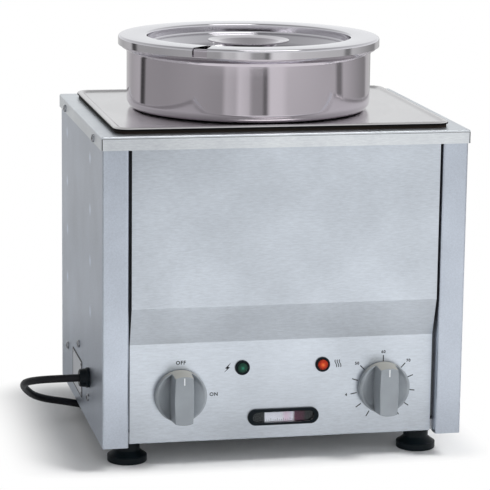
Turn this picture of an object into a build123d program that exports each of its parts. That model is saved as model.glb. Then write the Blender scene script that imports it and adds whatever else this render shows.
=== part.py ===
from build123d import *
import math
import os

os.makedirs("parts", exist_ok=True)

# Counter-top bain marie: a folded steel casing round a heated water well, an adaptor plate over the
# well, and one round lidded pot hanging in the plate. Millimetres, +Z up, +X to the user's right,
# +Y away from the user. The origin is on the counter, under the middle of the machine.

# Sheet metal
sheet = 1.2
bend_radius = 2.4
lap_gap = 0.3

# Casing
cover_width = 355.0
cover_depth = 295.0
cover_flange = 13.0
cover_fold_radius = 1.8
casing_height = 299.0
strip_width = 25.0
strip_return = 14.0
side_rear_return = 20.0
side_bottom_return = 16.0
front_panel_gap = 2.5
front_bend_height = 135.0
front_slant_foot = 97.5
front_hem = 10.0
front_bottom_return = 20.0
fascia_setback = 13.0
rear_panel_inset = 3.0
rear_bottom_return = 20.0
rear_slot_count = 9
rear_slot_pitch = 24.0
rear_slot_length = 36.0
rear_slot_width = 5.0
rear_slot_height = 60.0
pan_wall = 10.0
pan_inset = 2.6
pan_slot_length = 34.0
pan_slot_width = 4.0
pan_slot_pitch = 14.0
pan_slot_rows = 7
weld_dimple_depth = 0.3
weld_dimple_ball = 8.0
weld_front_row = 84.0
weld_rear_inset = 49.0
weld_top_inset = 33.0
weld_pitch = 50.3
weld_rows = 4

# Screws
screw_shank_radius = 2.0
screw_hole_radius = 2.2
screw_head_radius = 3.8
screw_head_height = 2.2
screw_shank_length = 7.0
screw_slot_width = 1.0
screw_slot_depth = 0.9
cover_screw_front_row = 50.0
cover_screw_rear_inset = 48.0
cover_screw_drop = 8.5
base_screw_inset = 100.0
front_screw_spacing = 120.0
rear_screw_edge = 11.0
rear_screw_foot = 15.0
rear_screw_top_inset = 19.0

# Feet
foot_height = 26.0
foot_side_inset = 32.5
foot_end_inset = 49.5
foot_pad_radius = 19.25
foot_pad_thickness = 6.5
foot_pad_chamfer = 1.0
foot_cone_height = 5.0
foot_neck_radius = 12.25
stud_radius = 4.0
stud_socket_z = 8.0
stud_clearance = 0.05
stud_hole_clearance = 0.4
stud_standout = 9.0
foot_nut_flats = 13.0
foot_nut_height = 6.5

# Water well
well_margin = 27.5
well_corner_radius = 22.0
well_depth = 150.0
well_floor_radius = 12.0
well_sheet = 1.0
well_flange = 10.0
well_upstand = 3.0
insulation_thickness = 9.5
insulation_gap = 0.5
insulation_foot = 6.0

# Heating
element_radius = 4.25
element_side_margin = 45.0
element_pitch_y = 40.0
element_runs = 4
element_clearance = 0.2
element_tail = 32.0
terminal_radius = 1.8
terminal_length = 14.0
clamp_spacing_x = 130.0
clamp_width = 16.0
clamp_thickness = 2.5
clamp_margin = 16.0
well_stud_radius = 2.5
well_stud_clearance = 0.3
stud_nut_flats = 8.0
stud_nut_height = 4.0
reflector_drop = 10.0
reflector_sheet = 0.8
reflector_margin = 12.0
reflector_wall = 7.0

# Adaptor plate
plate_overlap = 12.5
plate_corner_radius = 14.0
plate_rim_width = 6.0
plate_rim_rise = 1.6
plate_hole_flange = 4.0
plate_rib_clearance = 1.5
plate_rib_depth = 8.0
pot_offset_x = -8.5

# Pot
pot_sheet = 1.2
pot_well_clearance = 14.0
pot_hole_clearance = 3.0
pot_body_depth = 135.0
pot_floor_radius = 8.0
pot_shoulder_width = 14.5
pot_band_foot_radius = 9.5
pot_neck_radius = 2.5
pot_rim_reach = 6.5
pot_rim_drop = 17.0
pot_rim_edge = 9.5
pot_height_above_plate = 72.0

# Lid
lid_sheet = 1.0
lid_overhang = 2.0
lid_skirt = 9.0
lid_edge_radius = 2.5
lid_ring_width = 28.5
lid_ledge_width = 5.0
lid_step_depth = 10.0
lid_recess_depth = 20.0
lid_centre_depth = 13.5
lid_centre_radius = 25.0
lid_fold_radius = 2.2
notch_angle = 33.0
notch_mouth = 16.0
notch_tip = 5.0
notch_depth = 25.0

# Lid handle
handle_base_radius = 21.0
handle_bowl_radius = 31.0
handle_brim_radius = 40.0
handle_bowl_height = 6.0
handle_brim_height = 7.6
handle_sheet = 1.2

# Controls
control_inset = 77.5
control_height = 47.0
knob_reach = 25.0
knob_radius = 25.0
knob_skirt = 8.0
knob_skirt_edge = 2.0
knob_bar_width = 18.0
knob_bar_taper = 0.5
knob_bar_draft = 3.0
knob_bar_edge = 1.6
knob_gap = 1.0
knob_socket_radius = 10.0
knob_socket_depth = 7.0
knob_mark_width = 1.6
knob_mark_length = 7.0
knob_mark_depth = 0.4
shaft_radius = 3.0
shaft_fit = 0.05
shaft_standout = 18.0
shaft_bore_depth = 18.0
bushing_radius = 5.0
bushing_standout = 5.0
bushing_clearance = 0.2
control_nut_flats = 14.0
control_nut_height = 2.4
switch_body_width = 34.0
switch_body_height = 30.0
switch_body_depth = 28.0
thermostat_body_radius = 22.0
thermostat_body_depth = 30.0

# Lamps
lamp_spacing_x = 79.0
lamp_height = 71.5
lamp_bezel_radius = 7.2
lamp_bezel_rise = 2.2
lamp_barrel_radius = 5.8
lamp_barrel_depth = 16.0
lamp_window_radius = 5.1
lamp_hole_clearance = 0.2
lamp_lens_rise = 3.4
lamp_lens_depth = 4.0
lamp_bulb_depth = 24.0
lamp_fit = 0.05

# Thermometer
thermometer_x = 1.2
thermometer_height = 21.6
thermometer_width = 70.0
thermometer_tall = 16.0
thermometer_rise = 3.0
thermometer_window_width = 61.0
thermometer_window_tall = 10.5
thermometer_case_width = 63.0
thermometer_case_tall = 12.5
thermometer_case_depth = 15.0
thermometer_case_clearance = 0.3
thermometer_card_depth = 1.0
thermometer_card_sheet = 0.6
thermometer_lens_sheet = 1.2
thermometer_fit = 0.1

# Bulbs and fine tubes
capillary_radius = 1.0
bulb_radius = 3.0
bulb_length = 90.0

# Supply
gland_row = 92.0
gland_height = 47.0
gland_standout = 10.0
gland_base_radius = 10.0
gland_tip_radius = 8.6
gland_barrel_radius = 8.0
gland_hole_clearance = 0.2
gland_barrel_length = 14.0
gland_nut_flats = 22.0
gland_nut_height = 5.0
cord_radius = 3.75
cord_fit = 0.1
cord_seam_standout = 2.0
terminal_block_length = 42.0
terminal_block_width = 18.0
terminal_block_height = 16.0
terminal_block_row = 92.0
terminal_block_inset = 66.0
earth_row = 150.0
earth_inset = 28.0
earth_stud_height = 16.0
side_screw_spots = ((95.0, 26.0), (160.0, 64.5), (240.0, 43.5))

# Rating plate, left blank
rating_row = 173.0
rating_height = 32.0
rating_length = 65.5
rating_tall = 37.5
rating_sheet = 0.5
rivet_radius = 1.6
rivet_rise = 0.6
rivet_margin = 4.0

# Coil and plug
coil_middle_x = -30.0
coil_gap_behind = 8.0
coil_inner_radius = 33.0
coil_turns_per_layer = 2.5
coil_spacing = 0.6
tie_sheet = 0.8
tie_width = 12.0
plug_length = 40.0
plug_width = 34.0
plug_edge = 6.0
plug_neck_length = 38.0
plug_neck_radius = 8.0
pin_length = 19.0
pin_radius = 2.4
pin_spacing = 19.0

# Heights and planes that everything else hangs on
base_z = foot_height
top_z = base_z + casing_height
front_y = -(cover_depth + fascia_setback - knob_reach) / 2
rear_y = front_y + cover_depth
middle_y = front_y + cover_depth / 2
skin_y = front_y + sheet + lap_gap
fascia_y = front_y + fascia_setback
fascia_back_y = fascia_y + sheet
side_x = cover_width / 2 - sheet - lap_gap
side_inner_x = side_x - sheet
strip_inner_x = side_x - strip_width
front_panel_half = strip_inner_x - front_panel_gap
under_cover_z = top_z - sheet
bend_z = base_z + front_bend_height
slant_z = base_z + front_slant_foot
pan_z = base_z + sheet
pan_top_z = pan_z + sheet
rear_skin_y = rear_y - rear_panel_inset
rear_inner_y = rear_skin_y - sheet
control_z = base_z + control_height
foot_rows = (front_y + foot_end_inset, rear_y - foot_end_inset)
foot_spacing_x = cover_width - 2 * foot_side_inset
control_spacing_x = cover_width - 2 * control_inset
weld_columns = (weld_front_row, cover_depth - weld_rear_inset)
cover_screw_columns = (cover_screw_front_row, cover_depth - cover_screw_rear_inset)
base_screw_rows = (base_screw_inset, cover_depth - base_screw_inset)
rear_screw_top = casing_height - rear_screw_top_inset
rear_screw_heights = (rear_screw_foot, (rear_screw_foot + rear_screw_top) / 2, rear_screw_top)
weld_heights = [casing_height - weld_top_inset - weld_pitch * row for row in range(weld_rows)]

# The well keeps its margin inside the casing, the plate laps the well, and the pot hangs in the well
well_width = cover_width - 2 * well_margin
well_depth_y = cover_depth - 2 * well_margin
element_reach_x = well_width / 2 - element_side_margin
plate_width = well_width + 2 * plate_overlap
plate_depth = well_depth_y + 2 * plate_overlap
pot_body_radius = min(well_width, well_depth_y) / 2 - pot_well_clearance
pot_band_radius = pot_body_radius + pot_shoulder_width
pot_rim_radius = pot_band_radius + pot_rim_reach
lid_radius = pot_rim_radius + lid_overhang
lid_recess_radius = lid_radius - lid_ring_width
lid_step_radius = lid_recess_radius - lid_ledge_width


def front_plane(y):
    """Upright plane at depth y, facing the user, with local x to the right and local y up."""
    return Plane(origin=(0, y, 0), x_dir=(1, 0, 0), z_dir=(0, -1, 0))


def side_plane(x, hand):
    """Upright plane at x facing outwards on the left (hand -1) or right (hand +1)."""
    return Plane(origin=(x, 0, 0), x_dir=(0, 1, 0), z_dir=(hand, 0, 0))


def lathe_plane(seat):
    """The half plane through a seat's normal, with local x outwards and local y along the normal."""
    return Plane(origin=seat.origin, x_dir=seat.x_dir, z_dir=seat.x_dir.cross(seat.z_dir))


def folded(plane, line, radius, thickness, side):
    """Cross section of folded sheet: a line of corners with bent corners, thickened to one side."""
    with BuildSketch(plane) as section:
        with BuildLine():
            FilletPolyline(*line, radius=radius)
            offset(amount=thickness, side=side)
        make_face()
    return section.sketch


def turned(seats, outline):
    """One turned piece per seat, from a closed half outline of (radius, height along the normal)."""
    with BuildPart() as group:
        for seat in seats:
            with BuildSketch(lathe_plane(seat)):
                with BuildLine():
                    Polyline(*outline, close=True)
                make_face()
            revolve(axis=Axis(seat.origin, seat.z_dir))
    return group


def screws(seats):
    """Pan-head screws with a cross recess, head outwards on each seat."""
    head = screw_head_radius
    rise = screw_head_height
    outline = [
        (0, -screw_shank_length),
        (screw_shank_radius, -screw_shank_length),
        (screw_shank_radius, 0),
        (head, 0),
        (head, rise * 0.4),
        (head * 0.86, rise * 0.8),
        (head * 0.55, rise),
        (0, rise),
    ]
    with BuildPart() as group:
        for seat in seats:
            with BuildSketch(lathe_plane(seat)):
                with BuildLine():
                    Polyline(*outline, close=True)
                make_face()
            revolve(axis=Axis(seat.origin, seat.z_dir))
            with BuildSketch(seat.offset(rise)):
                Rectangle(head, screw_slot_width)
                Rectangle(screw_slot_width, head)
            extrude(amount=-screw_slot_depth, mode=Mode.SUBTRACT)
    return group


def hex_nuts(seats, flats, height, bore):
    """Hexagon nuts standing on their seats, bored to a radius."""
    with BuildPart() as group:
        for seat in seats:
            with BuildSketch(seat):
                RegularPolygon(flats / 2, 6, major_radius=False)
                Circle(bore, mode=Mode.SUBTRACT)
            extrude(amount=height)
    return group


def save(piece, name):
    """Label a finished piece and write it as its own file."""
    piece.part.label = name
    export_step(piece.part, "parts/" + name + ".step")


# Top cover: a shallow pan turned down on four sides, with an upstand round the well opening
with BuildPart() as top_cover:
    with BuildSketch(Plane.XY.offset(top_z - cover_flange)):
        with Locations((0, middle_y)):
            Rectangle(cover_width, cover_depth)
    extrude(amount=cover_flange)
    corner_edges = top_cover.edges().filter_by(Axis.Z)
    top_edges = top_cover.edges().group_by(Axis.Z)[-1]
    fillet(corner_edges + top_edges, radius=cover_fold_radius)
    with BuildSketch(Plane.XY.offset(top_z - cover_flange)):
        with Locations((0, middle_y)):
            Rectangle(cover_width - 2 * sheet, cover_depth - 2 * sheet)
    extrude(amount=cover_flange - sheet, mode=Mode.SUBTRACT)
    with BuildSketch(Plane.XY.offset(under_cover_z)):
        with Locations((0, middle_y)):
            RectangleRounded(well_width + 2 * sheet, well_depth_y + 2 * sheet, well_corner_radius + sheet)
    extrude(amount=sheet + well_upstand)
    with BuildSketch(Plane.XY.offset(under_cover_z)):
        with Locations((0, middle_y)):
            RectangleRounded(well_width, well_depth_y, well_corner_radius)
    extrude(amount=sheet + well_upstand, mode=Mode.SUBTRACT)
    for hand in (-1, 1):
        with BuildSketch(side_plane(hand * cover_width / 2, hand)):
            for row in cover_screw_columns:
                with Locations((front_y + row, hand * (top_z - cover_screw_drop))):
                    Circle(screw_hole_radius)
        extrude(amount=-2 * sheet, mode=Mode.SUBTRACT)
save(top_cover, "top_cover")


def side_panel(hand):
    """Left (hand -1) or right (hand +1) side: front strip with its return, rear and bottom returns."""
    plan = [
        (hand * strip_inner_x, skin_y + strip_return),
        (hand * strip_inner_x, skin_y),
        (hand * side_x, skin_y),
        (hand * side_x, rear_inner_y),
        (hand * (side_x - side_rear_return), rear_inner_y),
    ]
    inside = Side.LEFT if hand > 0 else Side.RIGHT
    with BuildPart() as panel:
        section = folded(Plane.XY.offset(base_z), plan, bend_radius, sheet, inside)
        extrude(section, amount=under_cover_z - base_z)
        bottom_length = rear_inner_y - skin_y - strip_return - 2 * sheet
        with BuildSketch(Plane.XY.offset(base_z)):
            with Locations((hand * (side_x - sheet / 2 - side_bottom_return / 2), middle_y)):
                Rectangle(side_bottom_return - sheet, bottom_length)
            with Locations((hand * (side_x - sheet), middle_y)):
                Rectangle(sheet, bottom_length)
        extrude(amount=sheet)
        with BuildSketch(side_plane(hand * side_x, hand)):
            for row in cover_screw_columns:
                with Locations((front_y + row, hand * (top_z - cover_screw_drop))):
                    Circle(screw_hole_radius)
        extrude(amount=-2 * sheet, mode=Mode.SUBTRACT)
        with BuildSketch(Plane.XY.offset(base_z)):
            for row in base_screw_rows:
                with Locations((hand * (side_x - side_bottom_return / 2), front_y + row)):
                    Circle(screw_hole_radius)
        extrude(amount=sheet, mode=Mode.SUBTRACT)
        with BuildSketch(front_plane(rear_inner_y)):
            for height in rear_screw_heights:
                with Locations((hand * (side_x - rear_screw_edge), base_z + height)):
                    Circle(screw_hole_radius)
        extrude(amount=sheet, mode=Mode.SUBTRACT)
        ball_x = hand * (side_x + weld_dimple_ball - weld_dimple_depth)
        for column in weld_columns:
            for height in weld_heights:
                with Locations((ball_x, front_y + column, base_z + height)):
                    Sphere(weld_dimple_ball, mode=Mode.SUBTRACT)
        if hand < 0:
            with BuildSketch(side_plane(-side_x, -1)):
                with Locations((front_y + gland_row, -(base_z + gland_height))):
                    Circle(gland_barrel_radius + gland_hole_clearance)
                for row, height in side_screw_spots:
                    with Locations((front_y + row, -(base_z + height))):
                        Circle(screw_hole_radius)
            extrude(amount=-2 * sheet, mode=Mode.SUBTRACT)
    return panel


left_side_panel = side_panel(-1)
save(left_side_panel, "left_side_panel")
right_side_panel = side_panel(1)
save(right_side_panel, "right_side_panel")

# Front panel: hem under the cover, flush upper face, slanted band, set-back fascia and bottom return
with BuildPart() as front_panel:
    front_line = [
        (skin_y + front_hem, under_cover_z),
        (skin_y, under_cover_z),
        (skin_y, bend_z),
        (fascia_y, slant_z),
        (fascia_y, base_z),
        (fascia_y + front_bottom_return, base_z),
    ]
    extrude(
        folded(Plane.YZ.offset(-front_panel_half), front_line, bend_radius, sheet, Side.LEFT),
        amount=2 * front_panel_half,
    )
    with BuildSketch(front_plane(fascia_y)):
        with Locations((-control_spacing_x / 2, control_z), (control_spacing_x / 2, control_z)):
            Circle(bushing_radius + bushing_clearance)
        with Locations(
            (-lamp_spacing_x / 2, base_z + lamp_height), (lamp_spacing_x / 2, base_z + lamp_height)
        ):
            Circle(lamp_barrel_radius + lamp_hole_clearance)
        with Locations((thermometer_x, base_z + thermometer_height)):
            SlotOverall(
                thermometer_case_width + 2 * thermometer_case_clearance,
                thermometer_case_tall + 2 * thermometer_case_clearance,
            )
    extrude(amount=-2 * sheet, mode=Mode.SUBTRACT)
    with BuildSketch(Plane.XY.offset(base_z)):
        with Locations((0, fascia_y + front_bottom_return / 2)):
            with GridLocations(front_screw_spacing, 0, 2, 1):
                Circle(screw_hole_radius)
    extrude(amount=sheet, mode=Mode.SUBTRACT)
save(front_panel, "front_panel")

# Rear panel: screwed on from behind, with a row of cooling slots
rear_width = 2 * side_inner_x - 2 * lap_gap
rear_return_half = side_x - side_rear_return - front_panel_gap
with BuildPart() as rear_panel:
    rear_line = [
        (rear_skin_y, base_z + 4 * bend_radius),
        (rear_skin_y, base_z),
        (rear_skin_y - rear_bottom_return, base_z),
    ]
    extrude(
        folded(Plane.YZ.offset(-rear_return_half), rear_line, bend_radius, sheet, Side.RIGHT),
        amount=2 * rear_return_half,
    )
    rear_foot_z = base_z + 3 * bend_radius
    rear_head_z = under_cover_z - lap_gap
    with BuildSketch(front_plane(rear_skin_y)):
        with Locations((0, (rear_foot_z + rear_head_z) / 2)):
            Rectangle(rear_width, rear_head_z - rear_foot_z)
    extrude(amount=sheet)
    with BuildSketch(front_plane(rear_skin_y)):
        for hand in (-1, 1):
            for height in rear_screw_heights:
                with Locations((hand * (side_x - rear_screw_edge), base_z + height)):
                    Circle(screw_hole_radius)
        with Locations((0, base_z + rear_slot_height)):
            with GridLocations(rear_slot_pitch, 0, rear_slot_count, 1):
                SlotOverall(rear_slot_length, rear_slot_width, rotation=90)
    extrude(amount=sheet, mode=Mode.SUBTRACT)
    with BuildSketch(Plane.XY.offset(base_z)):
        with Locations((0, rear_skin_y - rear_bottom_return / 2)):
            with GridLocations(front_screw_spacing, 0, 2, 1):
                Circle(screw_hole_radius)
    extrude(amount=sheet, mode=Mode.SUBTRACT)
save(rear_panel, "rear_panel")

# Base pan: lies on the bottom returns and carries the feet, the terminal block and the earth stud
pan_front_y = skin_y + strip_return + lap_gap
pan_rear_y = rear_inner_y - sheet - lap_gap
pan_middle_y = (pan_front_y + pan_rear_y) / 2
pan_width = 2 * (side_x - pan_inset)
pan_length = pan_rear_y - pan_front_y
earth_x = -(side_x - earth_inset)
with BuildPart() as base_pan:
    with BuildSketch(Plane.XY.offset(pan_z)):
        with Locations((0, pan_middle_y)):
            Rectangle(pan_width, pan_length)
    extrude(amount=pan_wall)
    with BuildSketch(Plane.XY.offset(pan_top_z)):
        with Locations((0, pan_middle_y)):
            Rectangle(pan_width - 2 * sheet, pan_length - 2 * sheet)
    extrude(amount=pan_wall, mode=Mode.SUBTRACT)
    with BuildSketch(Plane.XY.offset(pan_z)):
        for row in foot_rows:
            with Locations((-foot_spacing_x / 2, row), (foot_spacing_x / 2, row)):
                Circle(stud_radius + stud_hole_clearance)
        for hand in (-1, 1):
            for row in base_screw_rows:
                with Locations((hand * (side_x - side_bottom_return / 2), front_y + row)):
                    Circle(screw_hole_radius)
        for row in (fascia_y + front_bottom_return / 2, rear_skin_y - rear_bottom_return / 2):
            with Locations((0, row)):
                with GridLocations(front_screw_spacing, 0, 2, 1):
                    Circle(screw_hole_radius)
        with Locations((0, middle_y)):
            with GridLocations(2 * pan_slot_length, pan_slot_pitch, 2, pan_slot_rows):
                SlotOverall(pan_slot_length, pan_slot_width)
        with Locations((earth_x, front_y + earth_row)):
            Circle(well_stud_radius + well_stud_clearance)
    extrude(amount=sheet, mode=Mode.SUBTRACT)
save(base_pan, "base_pan")

# Screws of the casing
cover_seats = []
for hand in (-1, 1):
    for row in cover_screw_columns:
        seat_origin = (hand * cover_width / 2, front_y + row, top_z - cover_screw_drop)
        cover_seats.append(Plane(origin=seat_origin, x_dir=(0, 1, 0), z_dir=(hand, 0, 0)))
cover_screws = screws(cover_seats)
save(cover_screws, "cover_screws")

panel_seats = []
for hand in (-1, 1):
    for height in rear_screw_heights:
        seat_origin = (hand * (side_x - rear_screw_edge), rear_skin_y, base_z + height)
        panel_seats.append(Plane(origin=seat_origin, x_dir=(1, 0, 0), z_dir=(0, 1, 0)))
    for row in base_screw_rows:
        seat_origin = (hand * (side_x - side_bottom_return / 2), front_y + row, base_z)
        panel_seats.append(Plane(origin=seat_origin, x_dir=(1, 0, 0), z_dir=(0, 0, -1)))
    for row in (fascia_y + front_bottom_return / 2, rear_skin_y - rear_bottom_return / 2):
        seat_origin = (hand * front_screw_spacing / 2, row, base_z)
        panel_seats.append(Plane(origin=seat_origin, x_dir=(1, 0, 0), z_dir=(0, 0, -1)))
for row, height in side_screw_spots:
    seat_origin = (-side_x, front_y + row, base_z + height)
    panel_seats.append(Plane(origin=seat_origin, x_dir=(0, 1, 0), z_dir=(-1, 0, 0)))
panel_screws = screws(panel_seats)
save(panel_screws, "panel_screws")

# Feet: plastic pads on screwed-in studs, with their nuts on the pan
foot_names = {
    (-1, 0): "foot_front_left",
    (1, 0): "foot_front_right",
    (-1, 1): "foot_rear_left",
    (1, 1): "foot_rear_right",
}
stud_top_z = pan_top_z + foot_nut_height + stud_standout
foot_outline = [
    (0, 0),
    (foot_pad_radius - foot_pad_chamfer, 0),
    (foot_pad_radius, foot_pad_chamfer),
    (foot_pad_radius, foot_pad_thickness - foot_pad_chamfer),
    (foot_pad_radius - foot_pad_chamfer, foot_pad_thickness),
    (foot_neck_radius, foot_pad_thickness + foot_cone_height),
    (foot_neck_radius, pan_z),
    (stud_radius + stud_clearance, pan_z),
    (stud_radius + stud_clearance, stud_socket_z),
    (0, stud_socket_z),
]
stud_outline = [
    (0, stud_socket_z),
    (stud_radius, stud_socket_z),
    (stud_radius, stud_top_z - 1),
    (stud_radius - 1, stud_top_z),
    (0, stud_top_z),
]
nut_seats = []
for (hand, row), name in foot_names.items():
    spot = (hand * foot_spacing_x / 2, foot_rows[row])
    floor_seat = Plane(origin=(spot[0], spot[1], 0), x_dir=(1, 0, 0), z_dir=(0, 0, 1))
    save(turned([floor_seat], foot_outline), name)
    save(turned([floor_seat], stud_outline), name + "_stud")
    nut_seats.append(floor_seat.offset(pan_top_z))
foot_nuts = hex_nuts(nut_seats, foot_nut_flats, foot_nut_height, stud_radius + stud_clearance)
save(foot_nuts, "foot_nuts")

# Water well: a deep rounded tank whose flange is welded under the cover
well_floor_z = under_cover_z - well_depth
well_under_z = well_floor_z - well_sheet
with BuildPart() as well_hollow:
    with BuildSketch(Plane.XY.offset(well_floor_z)):
        with Locations((0, middle_y)):
            RectangleRounded(well_width, well_depth_y, well_corner_radius)
    extrude(amount=well_depth)
    fillet(well_hollow.edges().group_by(Axis.Z)[0], radius=well_floor_radius)
with BuildPart() as water_tank:
    with BuildSketch(Plane.XY.offset(well_under_z)):
        with Locations((0, middle_y)):
            RectangleRounded(
                well_width + 2 * well_sheet, well_depth_y + 2 * well_sheet, well_corner_radius + well_sheet
            )
    extrude(amount=well_depth + well_sheet)
    fillet(water_tank.edges().group_by(Axis.Z)[0], radius=well_floor_radius + well_sheet)
    flange_width = well_width + 2 * well_sheet + 2 * well_flange
    flange_depth = well_depth_y + 2 * well_sheet + 2 * well_flange
    with BuildSketch(Plane.XY.offset(under_cover_z - well_sheet)):
        with Locations((0, middle_y)):
            RectangleRounded(flange_width, flange_depth, well_corner_radius + well_flange)
    extrude(amount=well_sheet)
    add(well_hollow.part, mode=Mode.SUBTRACT)
save(water_tank, "water_tank")

# Insulation: a blanket wrapped round the tank walls
blanket_inner = well_sheet + insulation_gap
blanket_outer = blanket_inner + insulation_thickness
with BuildPart() as tank_insulation:
    with BuildSketch(Plane.XY.offset(well_under_z + insulation_foot)):
        with Locations((0, middle_y)):
            RectangleRounded(
                well_width + 2 * blanket_outer, well_depth_y + 2 * blanket_outer,
                well_corner_radius + blanket_outer,
            )
            RectangleRounded(
                well_width + 2 * blanket_inner, well_depth_y + 2 * blanket_inner,
                well_corner_radius + blanket_inner, mode=Mode.SUBTRACT,
            )
    extrude(amount=under_cover_z - well_sheet - lap_gap - well_under_z - insulation_foot)
save(tank_insulation, "tank_insulation")

# Heating element: one tube bent back and forth under the tank, with a terminal pin at each end
element_z = well_under_z - element_clearance - element_radius
element_under_z = element_z - element_radius
element_start_y = middle_y - element_pitch_y * (element_runs - 1) / 2
element_line = [(element_reach_x + element_tail, element_start_y)]
for run in range(element_runs):
    run_y = element_start_y + run * element_pitch_y
    turn_x = -element_reach_x if run % 2 == 0 else element_reach_x
    element_line.append((turn_x, run_y))
    if run < element_runs - 1:
        element_line.append((turn_x, run_y + element_pitch_y))
element_line[-1] = (element_reach_x + element_tail, run_y)
element_bend = element_pitch_y / 2 - 0.5
with BuildPart() as heating_element:
    with BuildLine(Plane.XY.offset(element_z)) as element_path:
        FilletPolyline(*element_line, radius=element_bend)
    with BuildSketch(Plane(origin=element_path.line @ 0, z_dir=element_path.line % 0)):
        Circle(element_radius)
    sweep(path=element_path.line)
    for end_y in (element_line[0][1], element_line[-1][1]):
        pin_start = (element_line[0][0], end_y, element_z)
        with BuildSketch(Plane(origin=pin_start, x_dir=(0, 1, 0), z_dir=(1, 0, 0))):
            Circle(terminal_radius)
        extrude(amount=terminal_length)
save(heating_element, "heating_element")

# Studs welded under the tank hold two clamp bars and the reflector tray
clamp_reach_y = element_pitch_y * (element_runs - 1) / 2 + clamp_margin
stud_spots = []
for hand in (-1, 1):
    for end in (-1, 1):
        stud_spots.append((hand * clamp_spacing_x / 2, middle_y + end * clamp_reach_y))
clamp_under_z = element_under_z - clamp_thickness
reflector_z = clamp_under_z - stud_nut_height - reflector_drop
well_stud_foot_z = reflector_z - stud_nut_height - 2
with BuildPart() as well_studs:
    for spot in stud_spots:
        with BuildSketch(Plane.XY.offset(well_stud_foot_z)):
            with Locations(spot):
                Circle(well_stud_radius)
        extrude(amount=well_under_z - well_stud_foot_z)
save(well_studs, "well_studs")

with BuildPart() as element_clamps:
    with BuildSketch(Plane.XY.offset(clamp_under_z)):
        for hand in (-1, 1):
            with Locations((hand * clamp_spacing_x / 2, middle_y)):
                SlotOverall(2 * clamp_reach_y + clamp_width, clamp_width, rotation=90)
        for spot in stud_spots:
            with Locations(spot):
                Circle(well_stud_radius + well_stud_clearance, mode=Mode.SUBTRACT)
    extrude(amount=clamp_thickness)
save(element_clamps, "element_clamps")

reflector_width = 2 * (element_reach_x + reflector_margin)
reflector_length = 2 * (clamp_reach_y + reflector_margin)
with BuildPart() as reflector_tray:
    with BuildSketch(Plane.XY.offset(reflector_z)):
        with Locations((0, middle_y)):
            Rectangle(reflector_width, reflector_length)
    extrude(amount=reflector_wall)
    with BuildSketch(Plane.XY.offset(reflector_z + reflector_sheet)):
        with Locations((0, middle_y)):
            Rectangle(reflector_width - 2 * reflector_sheet, reflector_length - 2 * reflector_sheet)
    extrude(amount=reflector_wall, mode=Mode.SUBTRACT)
    with BuildSketch(Plane.XY.offset(reflector_z)):
        for spot in stud_spots:
            with Locations(spot):
                Circle(well_stud_radius + well_stud_clearance)
    extrude(amount=reflector_sheet, mode=Mode.SUBTRACT)
save(reflector_tray, "reflector_tray")

stud_nut_seats = [
    Plane(origin=(earth_x, front_y + earth_row, pan_top_z), x_dir=(1, 0, 0), z_dir=(0, 0, 1))
]
for spot in stud_spots:
    for nut_z in (clamp_under_z - stud_nut_height, reflector_z - stud_nut_height):
        seat_origin = (spot[0], spot[1], nut_z)
        stud_nut_seats.append(Plane(origin=seat_origin, x_dir=(1, 0, 0), z_dir=(0, 0, 1)))
stud_nuts = hex_nuts(stud_nut_seats, stud_nut_flats, stud_nut_height, well_stud_radius + stud_clearance)
save(stud_nuts, "stud_nuts")

# Adaptor plate: pressed sheet with a raised rim, resting on the upstand, and a flanged pot hole
plate_z = top_z + well_upstand
plate_top_z = plate_z + sheet
pot_hole_radius = pot_body_radius + pot_hole_clearance
rib_width = well_width - 2 * plate_rib_clearance
rib_depth_y = well_depth_y - 2 * plate_rib_clearance
with BuildPart() as adaptor_plate:
    with BuildSketch(Plane.XY.offset(plate_z)):
        with Locations((0, middle_y)):
            RectangleRounded(plate_width, plate_depth, plate_corner_radius)
    extrude(amount=sheet + plate_rim_rise)
    fillet(adaptor_plate.edges().group_by(Axis.Z)[-1], radius=sheet)
    with BuildSketch(Plane.XY.offset(plate_top_z)):
        with Locations((0, middle_y)):
            RectangleRounded(
                plate_width - 2 * plate_rim_width, plate_depth - 2 * plate_rim_width,
                plate_corner_radius - plate_rim_width,
            )
    extrude(amount=plate_rim_rise, mode=Mode.SUBTRACT)
    with BuildSketch(Plane.XY.offset(plate_z)):
        with Locations((0, middle_y)):
            RectangleRounded(
                plate_width - 2 * sheet, plate_depth - 2 * sheet, plate_corner_radius - sheet
            )
            RectangleRounded(
                plate_width - 2 * plate_rim_width + 2 * sheet,
                plate_depth - 2 * plate_rim_width + 2 * sheet,
                plate_corner_radius - plate_rim_width + sheet, mode=Mode.SUBTRACT,
            )
    extrude(amount=plate_rim_rise, mode=Mode.SUBTRACT)
    with BuildSketch(Plane.XY.offset(plate_z)):
        with Locations((0, middle_y)):
            RectangleRounded(rib_width, rib_depth_y, well_corner_radius - plate_rib_clearance)
            RectangleRounded(
                rib_width - 2 * sheet, rib_depth_y - 2 * sheet,
                well_corner_radius - plate_rib_clearance - sheet, mode=Mode.SUBTRACT,
            )
    extrude(amount=-plate_rib_depth)
    with BuildSketch(Plane.XY.offset(plate_z - plate_hole_flange)):
        with Locations((pot_offset_x, middle_y)):
            Circle(pot_hole_radius + sheet)
    extrude(amount=plate_hole_flange)
    with BuildSketch(Plane.XY.offset(plate_z - plate_hole_flange)):
        with Locations((pot_offset_x, middle_y)):
            Circle(pot_hole_radius)
    extrude(amount=plate_hole_flange + sheet, mode=Mode.SUBTRACT)
save(adaptor_plate, "adaptor_plate")

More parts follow.
